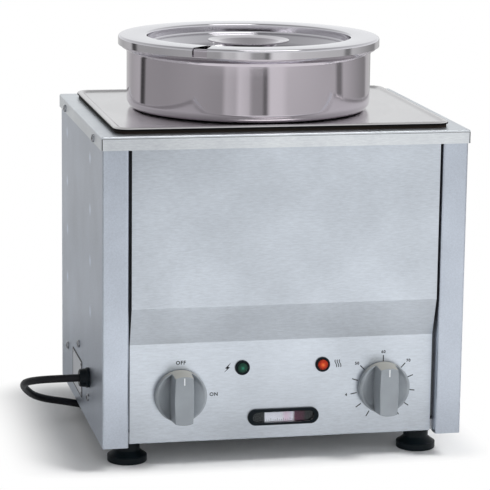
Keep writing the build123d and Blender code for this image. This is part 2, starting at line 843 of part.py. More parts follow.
# Pot: narrow body through the plate, wide band standing on it, rolled rim under the lid. The band is
# welded to the body where its shoulder meets the plate
lid_top = pot_height_above_plate
pot_seat = Plane(origin=(pot_offset_x, middle_y, plate_top_z), x_dir=(1, 0, 0), z_dir=(0, 0, 1))
rim_top = lid_top - lid_sheet
rim_low = lid_top - pot_rim_drop
pot_line = [
    (0, -pot_body_depth),
    (pot_body_radius, -pot_body_depth),
    (pot_body_radius, 0),
    (pot_band_radius, 0),
    (pot_band_radius, rim_top),
]
pot_bends = [pot_floor_radius, pot_neck_radius, pot_band_foot_radius]
rim_outline = [
    (pot_band_radius - pot_sheet, rim_top),
    (pot_band_radius - pot_sheet, rim_low),
    (pot_band_radius, rim_low),
    (pot_band_radius + 0.5, rim_low + 2.5),
    (pot_rim_radius - 1.5, lid_top - pot_rim_edge - 2.5),
    (pot_rim_radius, lid_top - pot_rim_edge),
    (pot_rim_radius, rim_top - 2),
    (pot_rim_radius - 2, rim_top),
]
with BuildPart() as pot_shell:
    revolve(
        folded(lathe_plane(pot_seat), pot_line, pot_bends, pot_sheet, Side.LEFT),
        axis=Axis(pot_seat.origin, pot_seat.z_dir),
    )
    with BuildSketch(lathe_plane(pot_seat)):
        with BuildLine():
            Polyline(*rim_outline, close=True)
        make_face()
    revolve(axis=Axis(pot_seat.origin, pot_seat.z_dir))
with BuildPart() as round_pot:
    add(pot_shell.part)
    split(bisect_by=pot_seat, keep=Keep.BOTTOM)
save(round_pot, "round_pot")
with BuildPart() as pot_band:
    add(pot_shell.part)
    split(bisect_by=pot_seat, keep=Keep.TOP)
save(pot_band, "pot_band")

# Lid: flat ring, two-stepped recess with a crowned middle, turned-down skirt and a ladle notch
lid_line = [
    (0, lid_top - lid_centre_depth),
    (lid_centre_radius, lid_top - lid_centre_depth),
    (lid_step_radius - lid_step_depth / 2, lid_top - lid_recess_depth),
    (lid_step_radius, lid_top - lid_step_depth),
    (lid_recess_radius, lid_top - lid_step_depth),
    (lid_recess_radius, lid_top),
    (lid_radius, lid_top),
    (lid_radius, lid_top - lid_skirt),
]
lid_bends = [
    lid_fold_radius * 4,
    lid_fold_radius * 2,
    lid_fold_radius,
    lid_fold_radius,
    lid_fold_radius,
    lid_edge_radius,
]
notch_turn = math.radians(notch_angle)
notch_out = (-math.sin(notch_turn), -math.cos(notch_turn))
notch_across = (math.cos(notch_turn), -math.sin(notch_turn))


def notch_point(out, across):
    """A point at a distance out from the pot's axis along the notch, and beside it."""
    x = pot_offset_x + out * notch_out[0] + across * notch_across[0]
    y = middle_y + out * notch_out[1] + across * notch_across[1]
    return (x, y)


notch_line = [
    notch_point(lid_radius + 2, -notch_mouth / 2),
    notch_point(lid_radius - notch_depth, -notch_tip / 2),
    notch_point(lid_radius - notch_depth, notch_tip / 2),
    notch_point(lid_radius + 2, notch_mouth / 2),
]
with BuildPart() as pot_lid:
    revolve(
        folded(lathe_plane(pot_seat), lid_line, lid_bends, lid_sheet, Side.RIGHT),
        axis=Axis(pot_seat.origin, pot_seat.z_dir),
    )
    with BuildSketch(pot_seat.offset(lid_top - lid_skirt - 1)) as notch_cut:
        with BuildLine():
            Polyline(*[(x - pot_offset_x, y - middle_y) for x, y in notch_line], close=True)
        make_face()
        fillet(notch_cut.vertices(), radius=notch_tip / 3)
    extrude(amount=lid_skirt + 2, mode=Mode.SUBTRACT)
save(pot_lid, "pot_lid")

# Lid handle: a pressed cup with a wide brim, spot welded to the lid's raised middle
handle_z = lid_top - lid_centre_depth
handle_line = [
    (0, handle_z),
    (handle_base_radius, handle_z),
    (handle_bowl_radius, handle_z + handle_bowl_height),
    (handle_brim_radius, handle_z + handle_brim_height),
]
with BuildPart() as lid_handle:
    revolve(
        folded(lathe_plane(pot_seat), handle_line, [3.0, 2.0], handle_sheet, Side.LEFT),
        axis=Axis(pot_seat.origin, pot_seat.z_dir),
    )
save(lid_handle, "lid_handle")


# Controls: a rotary switch on the left and a thermostat on the right, each with nut, shaft and knob
def control_seat(hand):
    """Where a control's axis meets the outside of the fascia, facing the user."""
    origin = (hand * control_spacing_x / 2, fascia_y, control_z)
    return Plane(origin=origin, x_dir=(1, 0, 0), z_dir=(0, -1, 0))


def bushing_and_bore(seat, body, depth):
    """A body behind the fascia with its bushing through the hole and a bore for the shaft."""
    with BuildPart() as control:
        with BuildSketch(seat.offset(-sheet)):
            add(body)
        extrude(amount=-depth)
        with BuildSketch(seat.offset(-sheet)):
            Circle(bushing_radius)
        extrude(amount=sheet + bushing_standout)
        with BuildSketch(seat.offset(bushing_standout)):
            Circle(shaft_radius + shaft_fit)
        extrude(amount=-(bushing_standout + sheet + shaft_bore_depth), mode=Mode.SUBTRACT)
    return control


with BuildSketch() as switch_face:
    RectangleRounded(switch_body_width, switch_body_height, 2)
with BuildSketch() as thermostat_face:
    RegularPolygon(thermostat_body_radius, 8)
save(bushing_and_bore(control_seat(-1), switch_face.sketch, switch_body_depth), "switch_body")
save(bushing_and_bore(control_seat(1), thermostat_face.sketch, thermostat_body_depth), "thermostat_body")
control_nuts = hex_nuts(
    [control_seat(-1), control_seat(1)], control_nut_flats, control_nut_height, bushing_radius + shaft_fit
)
save(control_nuts, "control_nuts")

shaft_outline = [
    (0, -(sheet + shaft_bore_depth - 1)),
    (shaft_radius, -(sheet + shaft_bore_depth - 1)),
    (shaft_radius, shaft_standout),
    (0, shaft_standout),
]
save(turned([control_seat(-1)], shaft_outline), "switch_shaft")
save(turned([control_seat(1)], shaft_outline), "thermostat_shaft")


def knob(seat):
    """A round skirt and a full-width grip bar, with a white mark let into the bar's top end."""
    skirt_outline = [
        (0, knob_gap),
        (knob_radius, knob_gap),
        (knob_radius, knob_gap + knob_skirt - knob_skirt_edge),
        (knob_radius - knob_skirt_edge, knob_gap + knob_skirt),
        (knob_radius * 0.6, knob_gap + knob_skirt - 1.5),
        (0, knob_gap + knob_skirt - 1.5),
    ]
    knob_front_radius = knob_radius - (knob_reach - knob_gap) * math.tan(math.radians(knob_bar_draft))
    with BuildPart() as grip:
        with BuildSketch(seat.offset(knob_gap)):
            Circle(knob_radius)
        extrude(amount=knob_reach - knob_gap, taper=knob_bar_draft)
        for hand in (-1, 1):
            bar_low = knob_bar_width / 2
            bar_high = bar_low - knob_bar_taper
            with BuildSketch(Plane(origin=seat.origin, x_dir=(1, 0, 0), z_dir=(0, 0, 1))):
                with BuildLine():
                    Polyline(
                        (hand * bar_high, -knob_reach - 1),
                        (hand * bar_low, -knob_gap - knob_skirt),
                        (hand * (bar_low + 2), -knob_gap - knob_skirt + 2),
                        (hand * (knob_radius + 1), -knob_gap - knob_skirt + 2),
                        (hand * (knob_radius + 1), -knob_reach - 1),
                        close=True,
                    )
                make_face()
            extrude(amount=knob_radius + 1, both=True, mode=Mode.SUBTRACT)
        front_edges = grip.edges().group_by(Axis.Y)[0]
        fillet(front_edges, radius=knob_bar_edge)
        with BuildSketch(lathe_plane(seat)):
            with BuildLine():
                Polyline(*skirt_outline, close=True)
            make_face()
        revolve(axis=Axis(seat.origin, seat.z_dir))
        with BuildSketch(seat.offset(knob_gap)):
            Circle(knob_socket_radius)
        extrude(amount=knob_socket_depth, mode=Mode.SUBTRACT)
        with BuildSketch(seat.offset(knob_gap)):
            Circle(shaft_radius + shaft_fit)
        extrude(amount=shaft_standout - knob_gap + 0.5, mode=Mode.SUBTRACT)
        with BuildSketch(seat.offset(knob_reach)):
            with Locations((0, knob_front_radius - 1 - knob_mark_length / 2)):
                Rectangle(knob_mark_width, knob_mark_length)
        extrude(amount=-knob_mark_depth, mode=Mode.SUBTRACT)
    return grip


save(knob(control_seat(-1)), "switch_knob")
save(knob(control_seat(1)), "thermostat_knob")

# Lamps: bezel, coloured lens and lamp body, twice
bezel_outline = [
    (lamp_window_radius, -sheet - lamp_barrel_depth),
    (lamp_barrel_radius, -sheet - lamp_barrel_depth),
    (lamp_barrel_radius, 0),
    (lamp_bezel_radius, 0),
    (lamp_bezel_radius, lamp_bezel_rise - 0.8),
    (lamp_bezel_radius - 0.8, lamp_bezel_rise),
    (lamp_window_radius, lamp_bezel_rise),
]
lens_radius = lamp_window_radius - lamp_fit
lens_outline = [
    (0, -lamp_lens_depth),
    (lens_radius, -lamp_lens_depth),
    (lens_radius, lamp_bezel_rise),
    (lens_radius * 0.85, lamp_bezel_rise + (lamp_lens_rise - lamp_bezel_rise) * 0.55),
    (lens_radius * 0.5, lamp_bezel_rise + (lamp_lens_rise - lamp_bezel_rise) * 0.9),
    (0, lamp_lens_rise),
]
bulb_outline = [
    (0, -lamp_bulb_depth),
    (lens_radius, -lamp_bulb_depth),
    (lens_radius, -lamp_lens_depth - 3),
    (lens_radius * 0.6, -lamp_lens_depth - 1),
    (0, -lamp_lens_depth - 1),
]
for hand, lamp in ((-1, "power_lamp"), (1, "heat_lamp")):
    lamp_origin = (hand * lamp_spacing_x / 2, fascia_y, base_z + lamp_height)
    lamp_seat = Plane(origin=lamp_origin, x_dir=(1, 0, 0), z_dir=(0, -1, 0))
    save(turned([lamp_seat], bezel_outline), lamp + "_bezel")
    save(turned([lamp_seat], lens_outline), lamp + "_lens")
    save(turned([lamp_seat], bulb_outline), lamp + "_bulb")

# Thermometer: a long oval bezel, a clear window, a scale card and a case behind the fascia
thermometer_spot = (thermometer_x, base_z + thermometer_height)
with BuildPart() as thermometer_bezel:
    with BuildSketch(front_plane(fascia_y)):
        with Locations(thermometer_spot):
            SlotOverall(thermometer_width, thermometer_tall)
    extrude(amount=thermometer_rise)
    fillet(thermometer_bezel.edges().group_by(Axis.Y)[0], radius=1.2)
    with BuildSketch(front_plane(fascia_y)):
        with Locations(thermometer_spot):
            SlotOverall(thermometer_window_width, thermometer_window_tall)
    extrude(amount=thermometer_rise, mode=Mode.SUBTRACT)
save(thermometer_bezel, "thermometer_bezel")

with BuildPart() as thermometer_case:
    with BuildSketch(front_plane(fascia_y)):
        with Locations(thermometer_spot):
            SlotOverall(thermometer_case_width, thermometer_case_tall)
    extrude(amount=-thermometer_case_depth)
    with BuildSketch(front_plane(fascia_y)):
        with Locations(thermometer_spot):
            SlotOverall(thermometer_window_width, thermometer_window_tall)
    extrude(amount=-thermometer_card_depth - thermometer_card_sheet, mode=Mode.SUBTRACT)
save(thermometer_case, "thermometer_case")

with BuildPart() as thermometer_card:
    with BuildSketch(front_plane(fascia_y + thermometer_card_depth + thermometer_card_sheet)):
        with Locations(thermometer_spot):
            SlotOverall(
                thermometer_window_width - 2 * thermometer_fit,
                thermometer_window_tall - 2 * thermometer_fit,
            )
    extrude(amount=thermometer_card_sheet)
save(thermometer_card, "thermometer_card")

with BuildPart() as thermometer_lens:
    with BuildSketch(front_plane(fascia_y - thermometer_rise + thermometer_lens_sheet + 0.3)):
        with Locations(thermometer_spot):
            SlotOverall(
                thermometer_window_width - 2 * thermometer_fit,
                thermometer_window_tall - 2 * thermometer_fit,
            )
    extrude(amount=thermometer_lens_sheet)
save(thermometer_lens, "thermometer_lens")


def probe(start, corners, end, radius):
    """A fine tube along rounded corners, ending in a straight bulb of a larger radius along +X."""
    with BuildPart() as tube:
        with BuildLine() as route:
            FilletPolyline(start, *corners, end, radius=radius)
        with BuildSketch(Plane(origin=route.line @ 0, z_dir=route.line % 0)):
            Circle(capillary_radius)
        sweep(path=route.line)
        with BuildSketch(Plane(origin=end, x_dir=(0, 1, 0), z_dir=(1, 0, 0))):
            Circle(bulb_radius)
        extrude(amount=bulb_length)
    return tube


# Sensing bulbs: clipped under the tank, one before and one behind the heating element
bulb_z = well_under_z - element_clearance - bulb_radius
thermometer_tail_y = fascia_y + thermometer_case_depth
front_bulb_y = middle_y - clamp_reach_y - clamp_margin
thermometer_probe = probe(
    (thermometer_x, thermometer_tail_y, base_z + thermometer_height),
    [
        (thermometer_x, thermometer_tail_y + 30, base_z + thermometer_height),
        (thermometer_x, thermometer_tail_y + 30, bulb_z - 40),
        (-bulb_length - 30, front_bulb_y, bulb_z - 40),
        (-bulb_length - 30, front_bulb_y, bulb_z),
    ],
    (-bulb_length, front_bulb_y, bulb_z),
    8.0,
)
save(thermometer_probe, "thermometer_probe")

rear_bulb_y = middle_y + clamp_reach_y + clamp_margin
thermostat_tail_y = fascia_back_y + thermostat_body_depth
thermostat_probe = probe(
    (control_spacing_x / 2, thermostat_tail_y, control_z),
    [
        (control_spacing_x / 2, thermostat_tail_y + 30, control_z),
        (control_spacing_x / 2, rear_bulb_y, reflector_z - 40),
        (-20, rear_bulb_y, reflector_z - 40),
        (-20, rear_bulb_y, bulb_z),
    ],
    (0, rear_bulb_y, bulb_z),
    8.0,
)
save(thermostat_probe, "thermostat_probe")

# Supply side: cord grip in the left panel, its nut, the cord's inner tail and the terminal block
gland_seat = Plane(
    origin=(-side_x, front_y + gland_row, base_z + gland_height), x_dir=(0, 1, 0), z_dir=(-1, 0, 0)
)
gland_outline = [
    (cord_radius + cord_fit, -gland_barrel_length),
    (gland_barrel_radius, -gland_barrel_length),
    (gland_barrel_radius, 0),
    (gland_base_radius, 0),
    (gland_base_radius, 2.5),
    (gland_base_radius - 0.8, 3.5),
    (gland_tip_radius, gland_standout - 1),
    (gland_tip_radius - 1, gland_standout),
    (cord_radius + cord_fit, gland_standout),
]
cable_gland = turned([gland_seat], gland_outline)
save(cable_gland, "cable_gland")
gland_nut_seat = Plane(
    origin=(-side_inner_x, front_y + gland_row, base_z + gland_height), x_dir=(0, 1, 0), z_dir=(1, 0, 0)
)
gland_nut = hex_nuts([gland_nut_seat], gland_nut_flats, gland_nut_height, gland_barrel_radius + shaft_fit)
save(gland_nut, "gland_nut")

block_x = -(side_x - terminal_block_inset)
block_y = front_y + terminal_block_row
with BuildPart() as terminal_block:
    with BuildSketch(Plane.XY.offset(pan_top_z)):
        with Locations((block_x, block_y)):
            Rectangle(terminal_block_width, terminal_block_length)
    extrude(amount=terminal_block_height)
    with BuildSketch(Plane.XY.offset(pan_top_z + terminal_block_height)):
        with Locations((block_x, block_y)):
            with GridLocations(0, terminal_block_length / 3, 1, 3):
                Circle(2.5)
    extrude(amount=-4, mode=Mode.SUBTRACT)
save(terminal_block, "terminal_block")

tail_end_x = block_x - terminal_block_width / 2
tail_z = pan_top_z + terminal_block_height / 2
cord_seam_x = -side_x - cord_seam_standout
gland_z = base_z + gland_height
with BuildPart() as supply_tail:
    with BuildLine() as tail_path:
        FilletPolyline(
            (cord_seam_x, block_y, gland_z),
            (-side_x + gland_barrel_length + 12, block_y, gland_z),
            (tail_end_x - 12, block_y, tail_z),
            (tail_end_x, block_y, tail_z),
            radius=12,
        )
    with BuildSketch(Plane(origin=tail_path.line @ 0, z_dir=tail_path.line % 0)):
        Circle(cord_radius)
    sweep(path=tail_path.line)
save(supply_tail, "supply_tail")

earth_seat = Plane(origin=(earth_x, front_y + earth_row, pan_z), x_dir=(1, 0, 0), z_dir=(0, 0, 1))
earth_outline = [
    (0, 0),
    (well_stud_radius, 0),
    (well_stud_radius, earth_stud_height - 1),
    (well_stud_radius - 1, earth_stud_height),
    (0, earth_stud_height),
]
save(turned([earth_seat], earth_outline), "earth_stud")

# Rating plate: blank, riveted to the left side
with BuildPart() as rating_plate:
    with BuildSketch(side_plane(-side_x, -1)):
        with Locations((front_y + rating_row, -(base_z + rating_height))):
            RectangleRounded(rating_length, rating_tall, 2)
    extrude(amount=rating_sheet)
save(rating_plate, "rating_plate")
rivet_seats = []
for along in (-1, 1):
    for up in (-1, 1):
        rivet_y = front_y + rating_row + along * (rating_length / 2 - rivet_margin)
        rivet_z = base_z + rating_height + up * (rating_tall / 2 - rivet_margin)
        seat_origin = (-side_x - rating_sheet, rivet_y, rivet_z)
        rivet_seats.append(Plane(origin=seat_origin, x_dir=(0, 1, 0), z_dir=(-1, 0, 0)))
rivet_outline = [(0, 0), (rivet_radius, 0), (rivet_radius * 0.7, rivet_rise * 0.8), (0, rivet_rise)]
save(turned(rivet_seats, rivet_outline), "rating_rivets")

# Coil of the cord that the view does not show: two layers, spiralling in on the counter and out
# again on top, climbing in the half turn where the spiral reverses
cord_diameter = 2 * cord_radius
coil_pitch = cord_diameter + coil_spacing
coil_outer_radius = coil_inner_radius + coil_turns_per_layer * coil_pitch
coil_low_z = cord_radius + tie_sheet
coil_centre = (coil_middle_x, rear_y + coil_gap_behind + coil_outer_radius + cord_radius)
coil_sweep = 2 * math.pi * coil_turns_per_layer
coil_start_angle = math.pi / 2


def coil_point(turn):
    """Point of the coil's middle line, for an angle counted from its start on the counter."""
    from_reversal = turn - coil_sweep
    radius = coil_inner_radius + abs(from_reversal) * coil_pitch / (2 * math.pi)
    climb = min(max(from_reversal / math.pi + 0.5, 0), 1)
    lift = coil_pitch * (1 - math.cos(math.pi * climb)) / 2
    angle = coil_start_angle - turn
    return Vector(
        coil_centre[0] + radius * math.cos(angle),
        coil_centre[1] + radius * math.sin(angle),
        coil_low_z + lift,
    )


def coil_direction(turn):
    """Direction of the coil's middle line, from two points close to each other."""
    step = 0.001
    return (coil_point(turn + step) - coil_point(turn - step)).normalized()


def biarc(start, start_way, end, end_way):
    """Meeting point and direction of two arcs that join two points with the given directions."""
    chord = end - start
    both = start_way + end_way
    a = 2 * (1 - start_way.dot(end_way))
    b = 2 * chord.dot(both)
    c = -chord.dot(chord)
    reach = (-b + math.sqrt(b * b - 4 * a * c)) / (2 * a)
    first = start + start_way * reach
    second = end - end_way * reach
    return (first + second) / 2


coil_steps = round(coil_turns_per_layer * 2 * 4)
coil_turn_step = 2 * coil_sweep / coil_steps
coil_start = coil_point(0)
coil_start_way = coil_direction(0)
coil_end = coil_point(2 * coil_sweep)
coil_end_way = coil_direction(2 * coil_sweep)
coil_start_way = Vector(coil_start_way.X, coil_start_way.Y, 0).normalized()
coil_end_way = Vector(coil_end_way.X, coil_end_way.Y, 0).normalized()
coil_foot = coil_start - coil_start_way * cord_diameter
coil_exit = coil_end + coil_end_way * cord_diameter
with BuildPart() as cord_coil:
    with BuildLine() as coil_path:
        Line(coil_foot, coil_start)
        here = coil_start
        way = coil_start_way
        for step in range(1, coil_steps + 1):
            there = coil_point(step * coil_turn_step)
            there_way = coil_direction(step * coil_turn_step)
            if step == coil_steps:
                there_way = coil_end_way
            joint = biarc(here, way, there, there_way)
            first_arc = TangentArc(here, joint, tangent=way)
            second_arc = TangentArc(joint, there, tangent=first_arc % 1)
            here = there
            way = second_arc % 1
        Line(here, coil_exit)
    with BuildSketch(Plane(origin=coil_foot, z_dir=coil_start_way)):
        Circle(cord_radius)
    sweep(path=coil_path.wire())
save(cord_coil, "cord_coil")
coil_length = coil_path.wire().length
coil_section = math.pi * cord_radius**2
print("coil length", round(coil_length, 1), "volume ratio",
      round(cord_coil.part.volume / (coil_section * coil_length), 4))
coil_samples = [coil_point(0.05 * index) for index in range(int(2 * coil_sweep / 0.05))]
skip = int(math.pi / 0.05)
least_gap = min(
    (coil_samples[i] - coil_samples[j]).length
    for i in range(0, len(coil_samples), 2)
    for j in range(i + skip, len(coil_samples))
)
print("least gap of the coil to itself", round(least_gap - cord_diameter, 2))

# Tie: a flat band round the coil's turns, on the side away from the plug
tie_angle = -3 * math.pi / 4
tie_out = Vector(math.cos(tie_angle), math.sin(tie_angle), 0)
tie_middle = (coil_inner_radius + coil_outer_radius) / 2
tie_origin = Vector(coil_centre[0], coil_centre[1], 0) + tie_out * tie_middle
tie_span = coil_outer_radius - coil_inner_radius + cord_diameter + 2 * tie_sheet + coil_spacing
tie_height = coil_pitch + cord_diameter + 2 * tie_sheet + coil_spacing
with BuildPart() as cord_tie:
    tie_face = Plane(
        origin=tie_origin - Vector(tie_out.Y, -tie_out.X, 0) * tie_width / 2,
        x_dir=tie_out,
        z_dir=(tie_out.Y, -tie_out.X, 0),
    )
    with BuildSketch(tie_face):
        with Locations((0, tie_height / 2)):
            RectangleRounded(tie_span, tie_height, cord_radius + tie_sheet)
            RectangleRounded(
                tie_span - 2 * tie_sheet, tie_height - 2 * tie_sheet, cord_radius, mode=Mode.SUBTRACT
            )
    extrude(amount=tie_width)
save(cord_tie, "cord_tie")

# Mains cord: out of the grip, round in a loop that drops to the counter, under the casing between
# the rear feet and back to the coil
cord_lie_z = cord_radius + 0.15
coil_lead = 34.0
cord_corners = [
    (-203.0, front_y + 92.0, 73.0),
    (-224.0, front_y + 102.2, 70.0),
    (-236.0, front_y + 125.0, 62.0),
    (-231.5, front_y + 166.0, 45.5),
    (-215.0, front_y + 198.0, 26.0),
    (-176.0, front_y + 208.0, 16.5),
    (-136.0, front_y + 204.0, 8.0),
    (-107.0, front_y + 221.0, 4.4),
    (-94.0, front_y + 253.0, cord_lie_z),
    (-95.0, front_y + 289.0, cord_lie_z),
    (-104.0, front_y + 324.0, cord_lie_z),
    (-107.0, front_y + 360.0, cord_lie_z),
    (-96.0, front_y + 392.0, 4.2),
]
cord_route = [Vector(cord_seam_x, front_y + gland_row, gland_z)]
cord_route += [Vector(*corner) for corner in cord_corners]
cord_route += [coil_foot - coil_start_way * coil_lead, coil_foot]
cord_radii = []
for before, corner, after in zip(cord_route, cord_route[1:], cord_route[2:]):
    run_in = corner - before
    run_out = after - corner
    half_turn = math.radians(run_in.get_angle(run_out)) / 2
    cord_radii.append(0.45 * min(run_in.length, run_out.length) / math.tan(half_turn))
print("cord radii", [round(radius, 1) for radius in cord_radii])
with BuildPart() as mains_cord:
    with BuildLine() as cord_path:
        FilletPolyline(*cord_route, radius=cord_radii)
    with BuildSketch(Plane(origin=cord_route[0], z_dir=cord_path.wire() % 0)):
        Circle(cord_radius)
    sweep(path=cord_path.wire())
save(mains_cord, "mains_cord")
cord_length = cord_path.wire().length
print("free cord length", round(cord_length, 1), "volume ratio",
      round(mains_cord.part.volume / (coil_section * cord_length), 4))
print("whole cord length", round(cord_length + coil_length, 1))

# Plug: a moulded body on a tapered neck, lying on the counter beside the coil, with two round pins
plug_seat = Plane(origin=coil_exit, x_dir=coil_end_way.cross(Vector(0, 0, 1)), z_dir=coil_end_way)
neck_outline = [
    (0, 0),
    (cord_radius + 0.25, 0),
    (plug_neck_radius * 0.6, plug_neck_length * 0.35),
    (plug_neck_radius * 0.85, plug_neck_length * 0.7),
    (plug_neck_radius, plug_neck_length),
    (0, plug_neck_length),
]
plug_height = 2 * coil_exit.Z
with BuildPart() as plug_body:
    with BuildSketch(plug_seat.offset(plug_neck_length)):
        RectangleRounded(plug_width, plug_height, plug_edge)
    extrude(amount=plug_length)
    fillet(plug_body.edges().filter_by(GeomType.LINE, reverse=True), radius=plug_edge / 3)
    with BuildSketch(lathe_plane(plug_seat)):
        with BuildLine():
            Polyline(*neck_outline, close=True)
        make_face()
    revolve(axis=Axis(plug_seat.origin, plug_seat.z_dir))
save(plug_body, "plug_body")

pin_spots = [(-pin_spacing / 2, 0), (pin_spacing / 2, 0)]
with BuildPart() as plug_pins:
    with BuildSketch(plug_seat.offset(plug_neck_length + plug_length)):
        with Locations(*pin_spots):
            Circle(pin_radius)
    extrude(amount=pin_length)
    fillet(plug_pins.edges().filter_by(GeomType.CIRCLE).group_by(Axis.X)[-1], radius=1.0)
save(plug_pins, "plug_pins")
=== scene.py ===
# %% [markdown]
# A counter-top bain marie keeps food hot in a water bath. Its casing is folded from brushed steel, and the
# pot, lid and plate are polished. The imported solids set its shape, so the first cell loads them.

# %% Load the solids
import math

import bmesh
import bpy
import numpy as np
from mathutils import Matrix, Vector


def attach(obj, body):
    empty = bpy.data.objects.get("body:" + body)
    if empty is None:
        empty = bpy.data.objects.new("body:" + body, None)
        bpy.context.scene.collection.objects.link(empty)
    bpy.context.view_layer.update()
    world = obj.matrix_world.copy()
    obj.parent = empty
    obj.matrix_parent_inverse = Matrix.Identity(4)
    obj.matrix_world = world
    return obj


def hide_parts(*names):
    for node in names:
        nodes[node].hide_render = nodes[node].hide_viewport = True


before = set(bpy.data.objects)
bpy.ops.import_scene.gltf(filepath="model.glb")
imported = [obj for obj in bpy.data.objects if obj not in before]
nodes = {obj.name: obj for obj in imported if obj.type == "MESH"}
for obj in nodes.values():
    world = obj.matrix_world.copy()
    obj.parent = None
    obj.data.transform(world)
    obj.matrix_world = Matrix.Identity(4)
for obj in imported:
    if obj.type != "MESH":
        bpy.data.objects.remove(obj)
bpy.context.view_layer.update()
MM = 0.001

# %% [markdown]
# A camera is a place, a direction and a lens. These were worked out from the casing's straight edges: the
# machine was photographed from slightly above and from its left, with a long lens, so that its uprights stay
# nearly parallel. Writing the three axes of the camera into one matrix avoids any doubt about angles.

# %% The camera
camera_azimuth = math.radians(-12.01)
camera_elevation = math.radians(11.47)
camera_roll = math.radians(-0.70)
camera_place = Vector((-499.51, -2296.49, 666.77)) * MM
lens_mm = 175.5
sensor_mm = 36.0


def camera_axes(azimuth, elevation, roll):
    """Right, up and backward axes: the view direction turned round Z, tipped down, then rolled."""
    forward = Vector((-math.sin(azimuth) * math.cos(elevation), math.cos(azimuth) * math.cos(elevation),
                      -math.sin(elevation)))
    level = forward.cross(Vector((0, 0, 1))).normalized()
    down = forward.cross(level).normalized()
    right = math.cos(roll) * level + math.sin(roll) * down
    low = -math.sin(roll) * level + math.cos(roll) * down
    return right, -low, -forward


camera_data = bpy.data.cameras.new("photo_camera")
camera_data.lens = lens_mm
camera_data.sensor_width = sensor_mm
camera_data.clip_end = 20.0
camera = bpy.data.objects.new("photo_camera", camera_data)
bpy.context.scene.collection.objects.link(camera)
right, up, back = camera_axes(camera_azimuth, camera_elevation, camera_roll)
turn = Matrix((right, up, back)).transposed().to_4x4()
camera.matrix_world = Matrix.Translation(camera_place) @ turn
bpy.context.scene.camera = camera
print("camera looks along", tuple(round(c, 3) for c in -back))

# %% [markdown]
# Materials are node trees. One helper makes the tree and sets the plain values on the shader's own sockets;
# each finish then adds only the patterns that the real surface has. A pattern reads Object coordinates, in
# metres, so that a grain of half a millimetre is written as such and stays put when a piece moves.


# %% Helpers for node trees
def add_node(tree, kind, inputs=None, **settings):
    """A node in a tree, with its settings, its values and its links."""
    made = tree.nodes.new(kind)
    for key, value in settings.items():
        setattr(made, key, value)
    for key, value in (inputs or {}).items():
        if isinstance(value, bpy.types.NodeSocket):
            tree.links.new(value, made.inputs[key])
        else:
            made.inputs[key].default_value = value
    return made


class Finish:
    """A material with one main shader, and short calls for the nodes that patterns need."""

    def __init__(self, name, colour, **values):
        self.material = bpy.data.materials.new(name)
        self.material.use_nodes = True
        self.tree = self.material.node_tree
        self.shader = self.tree.nodes["Principled BSDF"]
        self.shader.inputs["Base Color"].default_value = (*colour, 1.0)
        for key, value in values.items():
            self.shader.inputs[key.replace("_", " ")].default_value = value

    def node(self, kind, inputs=None, **settings):
        """A node in this finish's own tree."""
        return add_node(self.tree, kind, inputs, **settings)

    def link(self, source, socket_name):
        """Carries a pattern to one of the main shader's sockets."""
        self.tree.links.new(source, self.shader.inputs[socket_name])

    def place(self, stretch=(1, 1, 1), centre=(0, 0, 0)):
        """Object coordinates in metres, stretched along each axis or counted from a centre."""
        coordinates = self.node("ShaderNodeTexCoord").outputs["Object"]
        mapping = self.node("ShaderNodeMapping", {"Vector": coordinates, "Scale": stretch,
                                                  "Location": [-value for value in centre]})
        return mapping.outputs["Vector"]

    def axes(self, centre=(0, 0, 0)):
        """The three coordinates from a centre, each as a number of its own."""
        return self.node("ShaderNodeSeparateXYZ", {"Vector": self.place(centre=centre)}).outputs

    def calculate(self, operation, *values):
        """One step of arithmetic on numbers or sockets."""
        return self.node("ShaderNodeMath", dict(enumerate(values)), operation=operation).outputs[0]

    def reach(self, first, second):
        """The length of two coordinates: how far a place is from where both are 0."""
        flat = self.node("ShaderNodeCombineXYZ", {"X": first, "Y": second}).outputs["Vector"]
        return self.node("ShaderNodeVectorMath", {0: flat}, operation="LENGTH").outputs["Value"]

    def mix(self, factor, first, second, **settings):
        """Two colours mixed: the first where the factor is 0, the second where it is 1."""
        return self.node("ShaderNodeMix", {"Factor": factor, "A": first, "B": second}, data_type="RGBA",
                         **settings).outputs["Result"]

    def noise(self, scale, stretch=(1, 1, 1), detail=3.0, rough=0.5):
        """Cloudy noise from 0 to 1, with as many cells in a metre as the scale says."""
        made = self.node("ShaderNodeTexNoise", {"Vector": self.place(stretch), "Scale": scale,
                                                "Detail": detail, "Roughness": rough})
        return made.outputs["Fac"]

    def ramp(self, factor, stops):
        """A colour for each factor from 0 to 1, blended between the stops."""
        made = self.node("ShaderNodeValToRGB", {"Fac": factor})
        while len(made.color_ramp.elements) < len(stops):
            made.color_ramp.elements.new(0.5)
        for element, (at, colour) in zip(made.color_ramp.elements, stops):
            element.position = at
            element.color = (*colour, 1.0)
        return made.outputs["Color"]

    def spread(self, factor, low, high):
        """The factor, from 0 to 1, carried to the span between low and high."""
        made = self.node("ShaderNodeMapRange", {"Value": factor, "To Min": low, "To Max": high})
        return made.outputs["Result"]

    def bump(self, heights, distance):
        """Small hills: heights from 0 to 1 are carried to a distance in metres."""
        made = self.node("ShaderNodeBump", {"Height": heights, "Distance": distance, "Strength": 1.0})
        self.link(made.outputs["Normal"], "Normal")


def shade(colour, factor):
    """A colour made darker or lighter by a factor."""
    return tuple(min(1.0, c * factor) for c in colour)


print("a colour at half its brightness", shade((0.8, 0.6, 0.4), 0.5))

# %% [markdown]
# Brushed steel is steel scratched in one direction. The scratches are fine, short and parallel, so the noise
# is stretched along the brushing direction and packed tightly across it. The same noise moves the
# roughness and lifts the surface by a few microns, and a slow second noise gives the cloudy patches that
# handling and rolling leave.

